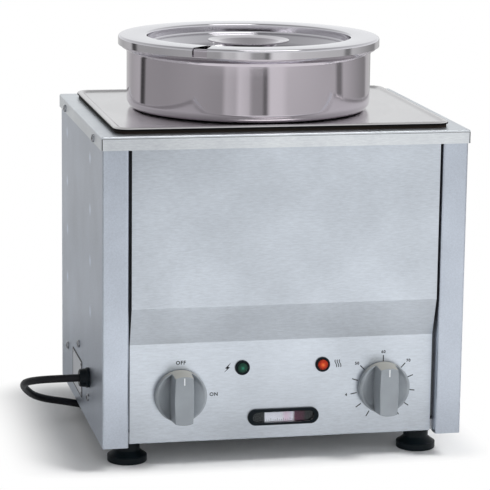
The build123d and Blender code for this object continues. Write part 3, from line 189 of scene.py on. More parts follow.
# %% Brushed steel
scratch_scale = 4.0 / 2.2
ALONG_X = (80.0, 400.0, 400.0)
ALONG_Y = (400.0, 80.0, 400.0)


def brushed_steel(name, colour, grain, roughness=0.34, contrast=0.18, marks=None):
    """Steel with short fine scratches along one axis and faint clouds; marks may tint it further."""
    finish = Finish(name, colour, Metallic=1.0, Roughness=roughness)
    scratches = finish.noise(scratch_scale, grain, detail=4.0, rough=0.65)
    clouds = finish.noise(14.0, detail=3.0)
    speckle = finish.noise(900.0, detail=1.0)
    mean = finish.calculate("MULTIPLY", finish.calculate("ADD", scratches, clouds), 0.5)
    tint = finish.ramp(mean, [(0.3, shade(colour, 1 - contrast)), (0.7, shade(colour, 1 + contrast))])
    surface = finish.mix(finish.spread(speckle, 0.0, 0.24), tint, (*shade(colour, 0.8), 1.0))
    if marks:
        surface = marks(finish, surface)
    finish.link(surface, "Base Color")
    finish.link(finish.spread(scratches, roughness - 0.07, roughness + 0.07), "Roughness")
    finish.bump(scratches, 0.004 * MM)
    return finish.material


scratch_size = [1 / (scratch_scale * cells) / MM for cells in ALONG_X[:2]]
print("a coarse scratch is %.1f mm long and %.1f mm wide" % tuple(scratch_size))

# %% [markdown]
# Each side panel is folded round to the front, where a narrow strip of it shows; that strip is painted a little
# paler, a painted highlight for the other light it faces.
# Brackets are spot welded to the inside of the panel, and each weld leaves a soft pale stain outside. Both
# are patterns of the place alone: a ping-pong of the height repeats one row of welds, and the distance to
# the nearest weld fades its stain.

# %% The side panels' painted paler strip and weld stains
strip_front = -139.4
weld_columns = (-57.5, 104.5)
weld_height = 141.1
weld_pitch = 50.3
lowest_stain = 125.0
stain_core, stain_edge = 0.5, 8.0


def lit_strip_and_weld_stains(finish, colour):
    """A front strip painted paler as a painted highlight, and a soft pale stain round each spot weld of the
    brackets inside.
    """
    spot = finish.axes()
    beside = finish.calculate("MINIMUM", *[
        finish.calculate("ABSOLUTE", finish.calculate("ADD", spot["Y"], -y * MM)) for y in weld_columns])
    above = finish.calculate("ADD", spot["Z"], -weld_height * MM)
    fold = finish.calculate("PINGPONG", above, weld_pitch / 2 * MM)
    away = finish.reach(beside, fold)
    stain = finish.node("ShaderNodeMapRange", {"Value": away, "From Min": stain_core * MM,
                                               "From Max": stain_edge * MM, "To Min": 1.0, "To Max": 0.0},
                        interpolation_type="SMOOTHSTEP").outputs["Result"]
    high = finish.calculate("GREATER_THAN", spot["Z"], lowest_stain * MM)
    stained = finish.mix(finish.calculate("MULTIPLY", stain, high), colour, (0.80, 0.87, 1.0, 1.0))
    # painted highlight: the front strip's colour is raised by a few percent
    painted_lit_strip = finish.mix(1.0, colour, (1.04, 1.05, 1.06, 1.0), blend_type="MULTIPLY")
    return finish.mix(finish.calculate("LESS_THAN", spot["Y"], strip_front * MM), stained, painted_lit_strip)


# one brushed steel in three painted brightnesses: the top cover's colour is painted lighter, the side panels'
# and the front's darker, for how the light falls on each face
painted_lit_top_steel = brushed_steel("brushed_steel_painted_lit_top", (0.80, 0.835, 0.89), ALONG_X)
painted_shade_side_steel = brushed_steel("brushed_steel_painted_shade_side", (0.57, 0.615, 0.69), ALONG_Y, contrast=0.16,
                           marks=lit_strip_and_weld_stains)
painted_shade_front_steel = brushed_steel("brushed_steel_painted_shade_front", (0.645, 0.695, 0.76), ALONG_X, roughness=0.33)
pan_steel = brushed_steel("mill_steel", (0.55, 0.56, 0.57), ALONG_X, roughness=0.42)
print("weld stains at heights", [round(weld_height + row * weld_pitch, 1) for row in range(4)])

# %% [markdown]
# The pot and its lid are spun and polished: the scratches run round the axis, and they are so faint that the
# surface mirrors the room. A noise read at the distance from the axis and at the height gives rings. A
# little warmth in the colour is what polished chrome steel shows beside the colder casing.

# %% Spun and polished steel
pot_axis = np.array((-8.5, 6.0))


def spun_steel(name, colour, roughness):
    """Polished steel with faint turning rings: the noise is read at (distance from the axis, height)."""
    finish = Finish(name, colour, Metallic=1.0, Roughness=roughness)
    spot = finish.axes((*(pot_axis * MM), 0))
    turned = finish.node("ShaderNodeCombineXYZ", {"X": finish.reach(spot["X"], spot["Y"]), "Y": spot["Z"]})
    rings = finish.node("ShaderNodeTexNoise", {"Vector": turned.outputs["Vector"], "Scale": 900.0,
                                               "Detail": 3.0}).outputs["Fac"]
    clouds = finish.noise(9.0, detail=2.0)
    tint = finish.ramp(clouds, [(0.3, shade(colour, 0.95)), (0.7, shade(colour, 1.04))])
    finish.link(tint, "Base Color")
    finish.link(finish.spread(rings, roughness - 0.03, roughness + 0.05), "Roughness")
    finish.bump(rings, 0.0003 * MM)
    return finish.material


pot_steel = spun_steel("polished_pot_steel", (0.56, 0.52, 0.565), 0.065)
pot_inside = spun_steel("satin_pot_inside", (0.74, 0.72, 0.74), 0.42)
lid_steel = spun_steel("polished_lid_steel", (0.66, 0.645, 0.675), 0.08)
cup_steel = spun_steel("polished_handle_steel", (0.64, 0.61, 0.64), 0.09)
plate_steel = spun_steel("satin_plate_steel", (0.72, 0.705, 0.705), 0.22)
well_steel = spun_steel("satin_well_steel", (0.56, 0.56, 0.57), 0.30)
print("polished finishes made")

# %% [markdown]
# The small parts are moulded or plated. Plastic is never one flat colour: a fine noise in the bump gives the
# skin that comes out of a mould, and a slow one makes the colour and the gloss uneven. The knobs' upward
# faces get a painted highlight: a lighter, warmer tint that stands in for the light of the room above.
# Plated metal has no grain, only an uneven gloss.


# %% Moulded and plated finishes
def moulded(name, colour, roughness=0.4, grain_mm=0.35, depth_mm=0.006, top=None, **values):
    """Plastic or rubber with a fine skin and slightly uneven gloss; top is a painted highlight, the tint of
    faces that look up.
    """
    finish = Finish(name, colour, Roughness=roughness, **values)
    skin = finish.noise(1.0 / (grain_mm * MM), detail=2.0)
    clouds = finish.noise(40.0, detail=3.0)
    tint = finish.ramp(clouds, [(0.25, shade(colour, 0.88)), (0.75, shade(colour, 1.12))])
    # painted highlight: faces whose normal points up take the lighter top tint
    if top:
        facing = finish.node("ShaderNodeTexCoord").outputs["Normal"]
        upward = finish.node("ShaderNodeSeparateXYZ", {"Vector": facing}).outputs["Z"]
        share = finish.node("ShaderNodeMapRange", {"Value": upward, "From Min": 0.55, "From Max": 0.95})
        tint = finish.mix(share.outputs["Result"], tint, (*top, 1.0))
    finish.link(tint, "Base Color")
    finish.link(finish.spread(clouds, roughness - 0.06, roughness + 0.08), "Roughness")
    finish.bump(skin, depth_mm * MM)
    return finish.material


def plated(name, colour, roughness=0.22):
    """Plated metal with uneven gloss."""
    finish = Finish(name, colour, Metallic=1.0, Roughness=roughness)
    clouds = finish.noise(160.0, detail=3.0)
    finish.link(finish.ramp(clouds, [(0.3, shade(colour, 0.86)), (0.7, shade(colour, 1.08))]), "Base Color")
    finish.link(finish.spread(clouds, roughness - 0.05, roughness + 0.12), "Roughness")
    return finish.material


# the knobs' top tint is a painted highlight for the light from above
knob_grey = moulded("knob_grey", (0.275, 0.30, 0.325), 0.42, grain_mm=0.6, depth_mm=0.012,
                    top=(0.37, 0.365, 0.335), Specular_IOR_Level=0.35)
black_gloss = moulded("black_gloss", (0.003, 0.006, 0.009), 0.24, depth_mm=0.002, Specular_IOR_Level=0.12)
foot_black = moulded("foot_black", (0.002, 0.006, 0.009), 0.42, Specular_IOR_Level=0.2)
cord_black = moulded("cord_black", (0.005, 0.005, 0.008), 0.38, grain_mm=0.8, Specular_IOR_Level=0.25)
control_cream = moulded("control_cream", (0.45, 0.42, 0.36), 0.5)
ink_black = moulded("ink_black", (0.004, 0.005, 0.007), 0.55, Specular_IOR_Level=0.15)
# painted shade: dark grey for the cover's bend line and the sheets behind the front gaps
painted_shade_grey = moulded("painted_shade_grey", (0.06, 0.065, 0.075), 0.5)
# painted shade: a black for the plate's outer edge and a dark brown for the strip in the gap under it
painted_shade_edge_black = moulded("painted_shade_edge_black", (0.003, 0.003, 0.004), 0.6, Specular_IOR_Level=0.1)
painted_shade_gap_brown = moulded("painted_shade_gap_brown", (0.020, 0.015, 0.012), 0.7, Specular_IOR_Level=0.1)
mark_white = moulded("mark_white", (0.80, 0.82, 0.84), 0.5)
wool_white = moulded("wool_white", (0.78, 0.77, 0.72), 0.9, grain_mm=2.0, depth_mm=0.6)
tie_black = moulded("tie_black", (0.03, 0.03, 0.032), 0.7, grain_mm=0.6, depth_mm=0.05)
screw_plate = plated("screw_plate", (0.36, 0.37, 0.39))
probe_copper = plated("probe_copper", (0.62, 0.33, 0.20), 0.3)
pin_brass = plated("pin_brass", (0.72, 0.58, 0.32), 0.25)
element_dark = plated("element_dark", (0.14, 0.135, 0.13), 0.45)
bulb_frost = moulded("bulb_frost", (0.70, 0.62, 0.50), 0.5)
clear_window = Finish("clear_window", (0.95, 0.97, 0.98), Roughness=0.04, Transmission_Weight=1.0,
                      IOR=1.15).material
print("moulded and plated finishes made")

# %% [markdown]
# The rating plate on the left side is a blank metal label with a dark line round it. The line is a pattern:
# each place is counted from the plate's middle as a share of its half width and of its half height, and the
# larger of the two shares is 1 at the edge.

# %% The rating plate's finish
rating_centre = np.array((0.0, 31.5, 58.0))
rating_half = {"Y": 32.75, "Z": 18.75}
rating_border = (0.05, 0.052, 0.06)
rating = Finish("rating_metal", (0.86, 0.87, 0.90), Roughness=0.5, Metallic=0.3)
rating_spot = rating.axes(rating_centre * MM)
rating_shares = [rating.calculate("MULTIPLY", rating.calculate("ABSOLUTE", rating_spot[axis]), 1 / (half * MM))
                 for axis, half in rating_half.items()]
rating.link(rating.ramp(rating.calculate("MAXIMUM", *rating_shares), [
    (0.0, (0.80, 0.81, 0.84)), (0.9, (0.74, 0.75, 0.79)), (0.93, rating_border), (1.0, rating_border)]),
    "Base Color")
rating_metal = rating.material
print("rating plate, half sizes in mm", list(rating_half.values()))

# %% [markdown]
# A lamp's lens is solid coloured plastic with facets inside. Unlit, it is paler in the middle, where the
# bulb stands behind it, and darker at its rim. So the colour is a ramp over the distance from the lens's
# axis, and the cells of a Voronoi pattern, read as heights, give the facets.

# %% The lamps' lenses
lamp_x, lamp_z = 39.5, 97.5
lens_radius = 5.0


def lamp_lens(name, colour, centre_x, glow):
    """A moulded lens, lighter in its middle where the lamp stands behind it."""
    finish = Finish(name, colour, Roughness=0.2, Coat_Weight=0.15, Coat_Roughness=0.08, Specular_IOR_Level=0.2)
    near = finish.place(centre=(centre_x * MM, 0, lamp_z * MM))
    spot = finish.node("ShaderNodeSeparateXYZ", {"Vector": near}).outputs
    share = finish.calculate("MULTIPLY", finish.reach(spot["X"], spot["Z"]), 1 / (lens_radius * MM))
    finish.link(finish.ramp(share, [(0.0, glow), (0.45, colour), (1.0, shade(colour, 0.5))]), "Base Color")
    facets = finish.node("ShaderNodeTexVoronoi", {"Vector": near, "Scale": 620.0}).outputs["Distance"]
    finish.bump(facets, 0.25 * MM)
    return finish.material


green_lens = lamp_lens("green_lens", (0.004, 0.050, 0.030), -lamp_x, (0.012, 0.19, 0.11))
red_lens = lamp_lens("red_lens", (0.50, 0.030, 0.004), lamp_x, (0.80, 0.17, 0.03))
print("lenses made")

# %% [markdown]
# Each solid keeps its own shape here and only takes a finish. A table from finish to the names of the
# pieces is the shortest way to write that, and a loop puts the finish into the piece's slot.

# %% Dress the solids
dress = {
    painted_lit_top_steel: ["top_cover"],
    painted_shade_side_steel: ["left_side_panel", "right_side_panel", "rear_panel"],
    painted_shade_front_steel: ["front_panel"],
    pan_steel: ["base_pan", "reflector_tray", "element_clamps"],
    well_steel: ["water_tank"],
    plate_steel: ["adaptor_plate"],
    pot_steel: ["round_pot", "pot_band"],
    lid_steel: ["pot_lid"],
    cup_steel: ["lid_handle"],
    screw_plate: ["cover_screws", "panel_screws", "foot_nuts", "stud_nuts", "well_studs", "control_nuts",
                  "rating_rivets", "earth_stud", "switch_shaft", "thermostat_shaft",
                  "foot_front_left_stud", "foot_front_right_stud", "foot_rear_left_stud",
                  "foot_rear_right_stud"],
    foot_black: ["foot_front_left", "foot_front_right", "foot_rear_left", "foot_rear_right"],
    wool_white: ["tank_insulation"],
    element_dark: ["heating_element"],
    probe_copper: ["thermometer_probe", "thermostat_probe"],
    knob_grey: ["switch_knob", "thermostat_knob"],
    control_cream: ["switch_body", "thermostat_body", "terminal_block"],
    black_gloss: ["power_lamp_bezel", "heat_lamp_bezel", "thermometer_bezel", "thermometer_case",
                  "cable_gland", "gland_nut"],
    green_lens: ["power_lamp_lens"],
    red_lens: ["heat_lamp_lens"],
    bulb_frost: ["power_lamp_bulb", "heat_lamp_bulb"],
    clear_window: ["thermometer_lens"],
    cord_black: ["supply_tail", "mains_cord", "cord_coil", "plug_body"],
    pin_brass: ["plug_pins"],
    tie_black: ["cord_tie"],
    rating_metal: ["rating_plate"],
    mark_white: ["thermometer_card"],
}
for finish, names in dress.items():
    for name in names:
        nodes[name].data.materials.clear()
        nodes[name].data.materials.append(finish)
undressed = set(nodes) - {name for names in dress.values() for name in names}
print("solids without a finish:", sorted(undressed))

# %% [markdown]
# New pieces are grids of points. A grid has rows and columns; four neighbours make a face. When a row closes
# on itself the last column joins the first. This one helper turns any such grid into a mesh, so that every
# piece below is only a formula for its points.


# %% A helper for grids of points
def add_mesh(name, points, faces, finish, body, smooth_angle=35.0):
    """A mesh object from points in metres and faces, with soft shading below an angle."""
    mesh = bpy.data.meshes.new(name)
    mesh.from_pydata(np.asarray(points).reshape(-1, 3).tolist(), [], np.asarray(faces).tolist())
    work = bmesh.new()
    work.from_mesh(mesh)
    bmesh.ops.remove_doubles(work, verts=work.verts, dist=1e-7)
    bmesh.ops.recalc_face_normals(work, faces=work.faces)
    work.to_mesh(mesh)
    work.free()
    mesh.shade_smooth()
    mesh.set_sharp_from_angle(angle=math.radians(smooth_angle))
    piece = bpy.data.objects.new(name, mesh)
    bpy.context.scene.collection.objects.link(piece)
    mesh.materials.append(finish)
    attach(piece, body)
    return piece


def grid_faces(rows, columns, close_rows, close_columns):
    """Quads of a grid: each joins a point to its right, lower right and lower neighbour."""
    row = np.arange(rows if close_rows else rows - 1)
    column = np.arange(columns if close_columns else columns - 1)
    r, c = np.meshgrid(row, column, indexing="ij")
    r2 = (r + 1) % rows
    c2 = (c + 1) % columns
    quads = np.stack([r * columns + c, r * columns + c2, r2 * columns + c2, r2 * columns + c], axis=-1)
    return quads.reshape(-1, 4)


print("a tube of 2 rings with 12 points each has", len(grid_faces(2, 12, False, True)), "faces")

# %% [markdown]
# Turned and spun pieces are profiles carried round an axis. The profile is drawn as a few corners with
# their radii; each corner becomes an arc, as a bent sheet's does. A sheet's second face is the first
# moved along its normals by the thickness, which gives a wall that is the same all the way.


# %% Profiles with rounded corners
def rounded_line(corners, radii, steps=8):
    """Corners of a plane line joined by straights and arcs: each arc touches both its neighbours."""
    points = [np.array(corners[0], float)]
    for before, corner, after, radius in zip(corners, corners[1:], corners[2:], radii):
        corner = np.array(corner, float)
        into = corner - np.array(before, float)
        out = np.array(after, float) - corner
        into = into / np.linalg.norm(into)
        out = out / np.linalg.norm(out)
        half = math.acos(max(-1.0, min(1.0, float(into @ out)))) / 2
        if radius == 0 or half < 1e-4:
            points.append(corner)
            continue
        reach = radius * math.tan(half)
        centre = corner + (out - into) / np.linalg.norm(out - into) * radius / math.cos(half)
        first = corner - into * reach - centre
        last = corner + out * reach - centre
        share = np.linspace(0, 1, steps + 1)[:, None]
        arc = np.sin((1 - share) * 2 * half) * first + np.sin(share * 2 * half) * last
        points.extend(centre + arc / math.sin(2 * half))
    points.append(np.array(corners[-1], float))
    return np.array(points)


def moved_line(line, distance):
    """The line moved sideways, to the left of its direction, by the mean normal of its two runs."""
    runs = np.diff(line, axis=0)
    lengths = np.linalg.norm(runs, axis=1, keepdims=True)
    keep = np.concatenate([[True], lengths[:, 0] > 1e-9])
    line = line[keep]
    runs = np.diff(line, axis=0)
    normals = np.stack([-runs[:, 1], runs[:, 0]], axis=1)
    normals /= np.linalg.norm(normals, axis=1, keepdims=True)
    first = np.vstack([normals[:1], normals])
    second = np.vstack([normals, normals[-1:]])
    mean = first + second
    mean /= (1 + (first * second).sum(axis=1, keepdims=True))
    return line + mean * distance


def sheet_outline(line, thickness):
    """A closed outline: the line, and back along the same line moved by the thickness."""
    other = moved_line(line, thickness)
    other[[0, -1], 0] = line[[0, -1], 0]
    return np.vstack([line, other[::-1]])


def lathe(name, outline_mm, origin, axis, finish, body, segments=192):
    """A turned piece: each outline point (r, h) goes to origin + r (cos t, sin t) + h along the axis."""
    outline = np.array(outline_mm) * MM
    t = np.linspace(0, 2 * math.pi, segments, endpoint=False)
    axis = np.array(axis, float)
    side = np.cross(axis, (0.0, 0.0, 1.0)) if abs(axis[2]) < 0.9 else np.array((1.0, 0.0, 0.0))
    other = np.cross(axis, side)
    ring = np.cos(t)[:, None] * side + np.sin(t)[:, None] * other
    points = outline[:, 0][:, None, None] * ring[None] + outline[:, 1][:, None, None] * axis
    points = points + np.array(origin, float)
    return add_mesh(name, points, grid_faces(len(outline), segments, True, True), finish, body)


print("an arc in place of one corner has", len(rounded_line([(0, 0), (9, 0), (9, 9)], [3])) - 2, "points")

# %% [markdown]
# The pot is spun from one disc of steel: a narrow body that hangs in the water, a shoulder that rests on the
# plate, a wide band above it and a rolled rim under the lid. Its solid has the same sections; spinning
# them again from a fine profile gives the smooth mirror that a polished pot needs.

# %% The pot
plate_top = 329.2
pot_top = 72.0
pot_centre = (*(pot_axis * MM), plate_top * MM)
pot_wall = 1.2
pot_depth = 135
pot_radius = 106
band_radius = 120.5
rim_foot = pot_top - 17
pot_line = rounded_line([(0, -pot_depth), (pot_radius, -pot_depth), (pot_radius, 0), (band_radius, 0),
                         (band_radius, rim_foot)], [14, 2.5, 9.5], 10)
rim_shape = np.array([(0, 0), (0.7, 3), (5.1, 5.4), (6.5, 8), (6.5, 15.5), (3.0, 16), (-1.2, 9)])
rim_line = rounded_line((rim_shape + (band_radius, rim_foot)).tolist(), [1.5, 1.5, 2, 1.4, 1.5], 5)
pot_inner = moved_line(pot_line, pot_wall)
pot_inner[0, 0] = 0
pot_outline = np.vstack([pot_line[:-1], rim_line, pot_inner[::-1]])
pot = lathe("pot_shell", pot_outline, pot_centre, (0, 0, 1), pot_steel, "pot", 256)
print("pot faces", len(pot.data.polygons))

# %% [markdown]
# Only the outside of the pot is polished: its inside is satin, so that it looks bright and even when the lid
# is up. A face belongs to the inside when it looks towards the axis, or when it looks up from deep in the
# pot, and such faces take the second finish of the piece.

# %% The pot's inside
pot.data.materials.append(pot_inside)
deep = plate_top - 50
face_count = len(pot.data.polygons)
middles, normals = np.empty(face_count * 3), np.empty(face_count * 3)
pot.data.polygons.foreach_get("center", middles)
pot.data.polygons.foreach_get("normal", normals)
middles, normals = middles.reshape(-1, 3), normals.reshape(-1, 3)
away = middles[:, :2] - pot_axis * MM
outward = (normals[:, :2] * away).sum(axis=1) / np.linalg.norm(away, axis=1)
inside = (outward < -0.4) | ((normals[:, 2] > 0.4) & (middles[:, 2] < deep * MM))
pot.data.polygons.foreach_set("material_index", inside.astype(np.int32))
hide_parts("round_pot", "pot_band")
print("faces inside the pot", int(inside.sum()))

# %% [markdown]
# Some pieces are slabs: an outline, the same outline a little further, a wall between the two and a face on
# each. A slab can also be a tool: a Boolean modifier takes its space out of another piece.


# %% Helpers for slabs and cuts
def add_slab(name, first, second, finish, body=None):
    """A flat-shaded slab between two outlines in metres; without a body it is only a tool."""
    count = len(first)
    k = np.arange(count)
    sides = np.stack([k, (k + 1) % count, (k + 1) % count + count, k + count], axis=1).tolist()
    mesh = bpy.data.meshes.new(name)
    mesh.from_pydata(np.vstack([first, second]).tolist(), [],
                     sides + [k[::-1].tolist(), (k + count).tolist()])
    work = bmesh.new()
    work.from_mesh(mesh)
    bmesh.ops.recalc_face_normals(work, faces=work.faces)
    work.to_mesh(mesh)
    work.free()
    mesh.materials.append(finish)
    piece = bpy.data.objects.new(name, mesh)
    bpy.context.scene.collection.objects.link(piece)
    if body:
        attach(piece, body)
    return piece


def at_height(outline, z):
    """An outline's points (x, y) as points (x, y, z) at one height."""
    return np.column_stack([outline, np.full(len(outline), z)])


def cut(piece, cutter):
    """Takes the cutter's space out of the piece, and removes the cutter."""
    difference = piece.modifiers.new("cut", "BOOLEAN")
    difference.object = cutter
    difference.solver = "EXACT"
    with bpy.context.temp_override(object=piece, active_object=piece):
        bpy.ops.object.modifier_apply(modifier="cut")
    bpy.data.objects.remove(cutter)
    piece.data.set_sharp_from_angle(angle=math.radians(35))


print("a corner of the plate's top is at", at_height([(162.5, 138.5)], plate_top)[0].tolist())

# %% [markdown]
# The lid is one pressed sheet: skirt, flat ring, two steps down, and a floor that rises to the middle. The
# notch for the ladle is punched out afterwards, so it is cut here by a wedge with a rounded tip.

# %% The lid
lid_sheet = 1.0
lid_radius = band_radius + 8.5
step_radius = lid_radius - 33.5
lid_floor = pot_top - 13.5
lid_line = rounded_line(
    [(0, lid_floor), (25, lid_floor), (step_radius - 5, pot_top - 20), (step_radius, pot_top - 10),
     (step_radius + 5, pot_top - 10), (step_radius + 5, pot_top), (lid_radius, pot_top),
     (lid_radius, pot_top - 9)],
    [8.8, 4.4, 2.2, 2.2, 2.2, 2.5], 8)
lid = lathe("lid_shell", sheet_outline(lid_line, -lid_sheet), pot_centre, (0, 0, 1), lid_steel, "lid", 256)
notch_turn = math.radians(33.0)
notch_out = np.array((-math.sin(notch_turn), -math.cos(notch_turn)))
notch_across = np.array((math.cos(notch_turn), -math.sin(notch_turn)))
wedge = rounded_line([(lid_radius + 2, -8), (lid_radius - 25, -2.5), (lid_radius - 25, 2.5),
                      (lid_radius + 2, 8)], [1.7, 1.7], 6)
wedge = (wedge[:, :1] * notch_out + wedge[:, 1:] * notch_across) * MM + pot_axis * MM
low, high = (at_height(wedge, (plate_top + pot_top + rise) * MM) for rise in (-15, 5))
cut(lid, add_slab("notch_wedge", low, high, lid_steel))
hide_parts("pot_lid")
print("lid faces", len(lid.data.polygons))

# %% [markdown]
# The handle is a shallow cup of sheet steel welded to the middle of the lid: fingers go under its brim. It is
# one turned profile, because a cup has no corners that a sweep round the axis couldn't make.

# %% The lid's handle
handle_sheet = 1.2
handle_line = rounded_line([(0, lid_floor), (21, lid_floor), (31, lid_floor + 6), (40, lid_floor + 7.6)],
                           [3.0, 2.0], 8)
handle = lathe("handle_cup", sheet_outline(handle_line, handle_sheet), pot_centre, (0, 0, 1), cup_steel,
               "lid", 192)
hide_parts("lid_handle")
print("handle faces", len(handle.data.polygons))

# %% [markdown]
# The adaptor plate's outline is a rectangle with rounded corners. All its rings have as many points as each
# other and spread them in the same way, so that a grid can join any ring to the next.

# %% Rings for the adaptor plate
plate_half = np.array((162.5, 132.5))
plate_centre = np.array((0.0, 6.0))
plate_z = 328.0
plate_sheet = 1.2
ring_points = 256


def rounded_rectangle(half, radius, count):
    """Points of a rounded rectangle, evenly spread over each side and corner so that rings line up."""
    per = count // 8
    s = np.linspace(-1, 1, per, endpoint=False)
    a = np.linspace(0, math.pi / 2, per, endpoint=False)
    inner = half - radius
    rows = []
    for quarter in range(4):
        turn = quarter * math.pi / 2
        c, d = round(math.cos(turn)), round(math.sin(turn))
        along = inner[1] if quarter % 2 == 0 else inner[0]
        away = half[0] if quarter % 2 == 0 else half[1]
        rows.append(np.stack([np.full(per, away), s * along], axis=1) @ np.array([[c, d], [-d, c]]))
        corner = np.array((inner[0] if quarter % 2 == 0 else inner[1], along))
        arc = corner + radius * np.stack([np.cos(a), np.sin(a)], axis=1)
        rows.append(arc @ np.array([[c, d], [-d, c]]))
    return np.vstack(rows)


def plate_ring(inset, rise, radius):
    """The plate's outline moved in by an inset, with rounded corners, at a rise over the plate's foot."""
    return at_height(rounded_rectangle(plate_half - inset, radius, ring_points) + plate_centre, plate_z + rise)


def ring_piece(name, rings, finish):
    """A closed piece that rides on the plate: each ring is joined to the next, and the last to the first."""
    points = np.array(rings) * MM
    return add_mesh(name, points, grid_faces(len(rings), ring_points, True, True), finish, "plate", 30)


print("the plate measures", (plate_half * 2).tolist(), "mm")

# %% [markdown]
# The adaptor plate is pressed from one sheet: a raised bead runs round it, and its field runs level to the
# pot. The rings turn, by a weighted mean, from the rounded rectangle inside the bead into the circle of the
# pot's hole, where a flange turns down. The sheet's underside follows with the way back.

# %% The adaptor plate
hole_radius = 109.0
bead = [(0.0, 0.2, 14.0), (0.0, 1.4, 14.0), (0.5, 2.3, 13.5), (1.6, 2.8, 12.4), (4.0, 2.8, 10.0),
        (5.2, 2.5, 8.8), (6.2, 1.6, 7.8), (7.4, 1.25, 6.6), (8.6, 1.2, 5.4)]
underside = [(7.2, 0.0, 6.8), (4.8, 1.6, 9.2), (1.2, 1.6, 12.8), (1.2, 0.0, 12.8)]
top_rows = [plate_ring(*ring) for ring in bead]
inner_ring = top_rows[-1][:, :2]
angle = np.arctan2(inner_ring[:, 1] - pot_axis[1], inner_ring[:, 0] - pot_axis[0])
circle = np.stack([np.cos(angle), np.sin(angle)], axis=1)
hole = hole_radius * circle + pot_axis
under_hole = (hole_radius + plate_sheet) * circle + pot_axis
top_rows += [at_height(inner_ring * (1 - share) + hole * share, plate_z + plate_sheet)
             for share in (0.25, 0.5, 0.75, 0.97)]
flange_rows = [at_height(hole, plate_z + 1.0), at_height(hole, plate_z - 4.0),
               at_height(under_hole, plate_z - 4.0), at_height(under_hole, plate_z)]
low_rows = [plate_ring(*ring) for ring in underside]
plate = ring_piece("plate_sheet", top_rows + flange_rows + low_rows, plate_steel)
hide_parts("adaptor_plate")
print("plate faces", len(plate.data.polygons))

# %% [markdown]
# Under the plate a rib holds it in the opening of the well. The plate's outer edge is painted black and a dark
# brown strip is put in the gap under it, both painted shade, which gives the two dark lines round the plate.

# %% The plate's rib, and its edge and gap strip painted as shade
rib = ring_piece("plate_rib", [plate_ring(14.0, 0.1, 20.5), plate_ring(14.0, -8, 20.5),
                               plate_ring(15.2, -8, 19.3), plate_ring(15.2, 0.1, 19.3)], plate_steel)
# painted shade: the plate's outer edge in black, and a dark brown strip in the shaded gap under it
edge = ring_piece("plate_edge_shade", [plate_ring(inset, rise, 14.0) for inset, rise in (
    (-0.06, 0), (-0.06, 1.3), (0.1, 1.3), (0.1, 0))], painted_shade_edge_black)
shade_strip = ring_piece("plate_gap_shade_strip", [plate_ring(inset, rise, 12.5) for inset, rise in (
    (1.5, -0.05), (1.5, -2.9), (3.0, -2.9), (3.0, -0.05))], painted_shade_gap_brown)
print("faces of the rib, the edge and the seal", [len(piece.data.polygons) for piece in (rib, edge, shade_strip)])

# %% [markdown]
# A knob is a height over a disc. Where the bar stands, the height is the full reach; beside it the cheeks
# are dished, deepest next to the bar and rising to a rim. Writing the height as a smooth function of the
# place gives the soft crease beside the bar that a mould leaves.

# %% The knob's shape
knob_reach = 25.0
knob_radius = 25.0
knob_rim = 9.0
knob_taper = 0.079


def knob_height(x, y):
    """Bar height inside the bar's half width, else a dished cheek; a smooth step joins the two."""
    r = np.hypot(x, y)
    half = 9.9 - 0.6 * (y / 23.0) ** 2
    rim = knob_rim - 1.2 * np.clip((r - 22.6) / 2.4, 0, 1) ** 2
    beside = np.clip((np.abs(x) - half) / 14.0, 0, 1)
    dish = 5.0 * (1 - beside) ** 1.5 * np.clip((24.4 - r) / 3.5, 0, 1)
    cheek = rim - dish
    edge = np.clip((half + 0.35 - np.abs(x)) / 1.1, 0, 1)
    step = edge * edge * (3 - 2 * edge)
    bar_top = knob_reach - 0.5 * np.clip((np.abs(x) - half + 1.5) / 1.2, 0, 1) ** 2
    bar_top = bar_top - 0.35 * np.clip((r - 22.9) / 0.8, 0, 1) ** 2
    tall = cheek + (bar_top - cheek) * step
    slope = knob_radius - (tall - knob_rim) * knob_taper
    return np.where(r > slope, knob_rim + (knob_radius - r) / knob_taper, tall)


heights = knob_height(np.array((0, 13)), np.zeros(2))
print("heights at the middle and deep in a cheek", heights.round(1).tolist())

# %% [markdown]
# The knob's front is a grid of rings round its middle, each point raised to that height. A side wall and
# a back follow, and the back turns in round the shaft, so that the knob is closed.

# %% The knobs
knob_z = 73.0
knob_spread = 100.0
fascia_y = -128.5


def knob(name, centre_x, body, node):
    """A polar grid of heights, a side wall, and a back that is closed round the shaft."""
    across = 288
    t = np.linspace(0, 2 * math.pi, across, endpoint=False)
    radii = np.concatenate([np.linspace(0, 6, 8), np.linspace(6.6, 23.4, 52), np.linspace(23.6, 24.98, 14)])
    x = radii[:, None] * np.cos(t)[None]
    y = radii[:, None] * np.sin(t)[None]
    heights = knob_height(x, y)
    front = np.stack([x, y, heights], axis=-1)
    ring = np.stack([np.cos(t), np.sin(t)], axis=-1)
    shoulder = np.concatenate([ring * knob_radius, np.maximum(heights[-1] - 3.0, 2.0)[:, None]], axis=-1)
    back = [(knob_radius, 1.2), (knob_radius - 0.2, 1.0), (10.0, 1.0), (10.0, 8.0), (3.05, 8.0), (3.05, 18.2),
            (0.0, 18.2)]
    points = np.concatenate([front, shoulder[None]] + [at_height(ring * radius, height)[None]
                                                       for radius, height in back])
    placed = np.stack([centre_x + points[..., 0], fascia_y - points[..., 2], knob_z + points[..., 1]], axis=-1)
    piece = add_mesh(name, placed * MM, grid_faces(len(placed), across, False, True), knob_grey, body, 38)
    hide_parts(node)
    return piece


switch_knob = knob("switch_knob_shell", -knob_spread, "switch_knob_set", "switch_knob")
thermostat_knob = knob("thermostat_knob_shell", knob_spread, "thermostat_knob_set", "thermostat_knob")
print("knob faces", len(switch_knob.data.polygons), "and", len(thermostat_knob.data.polygons))

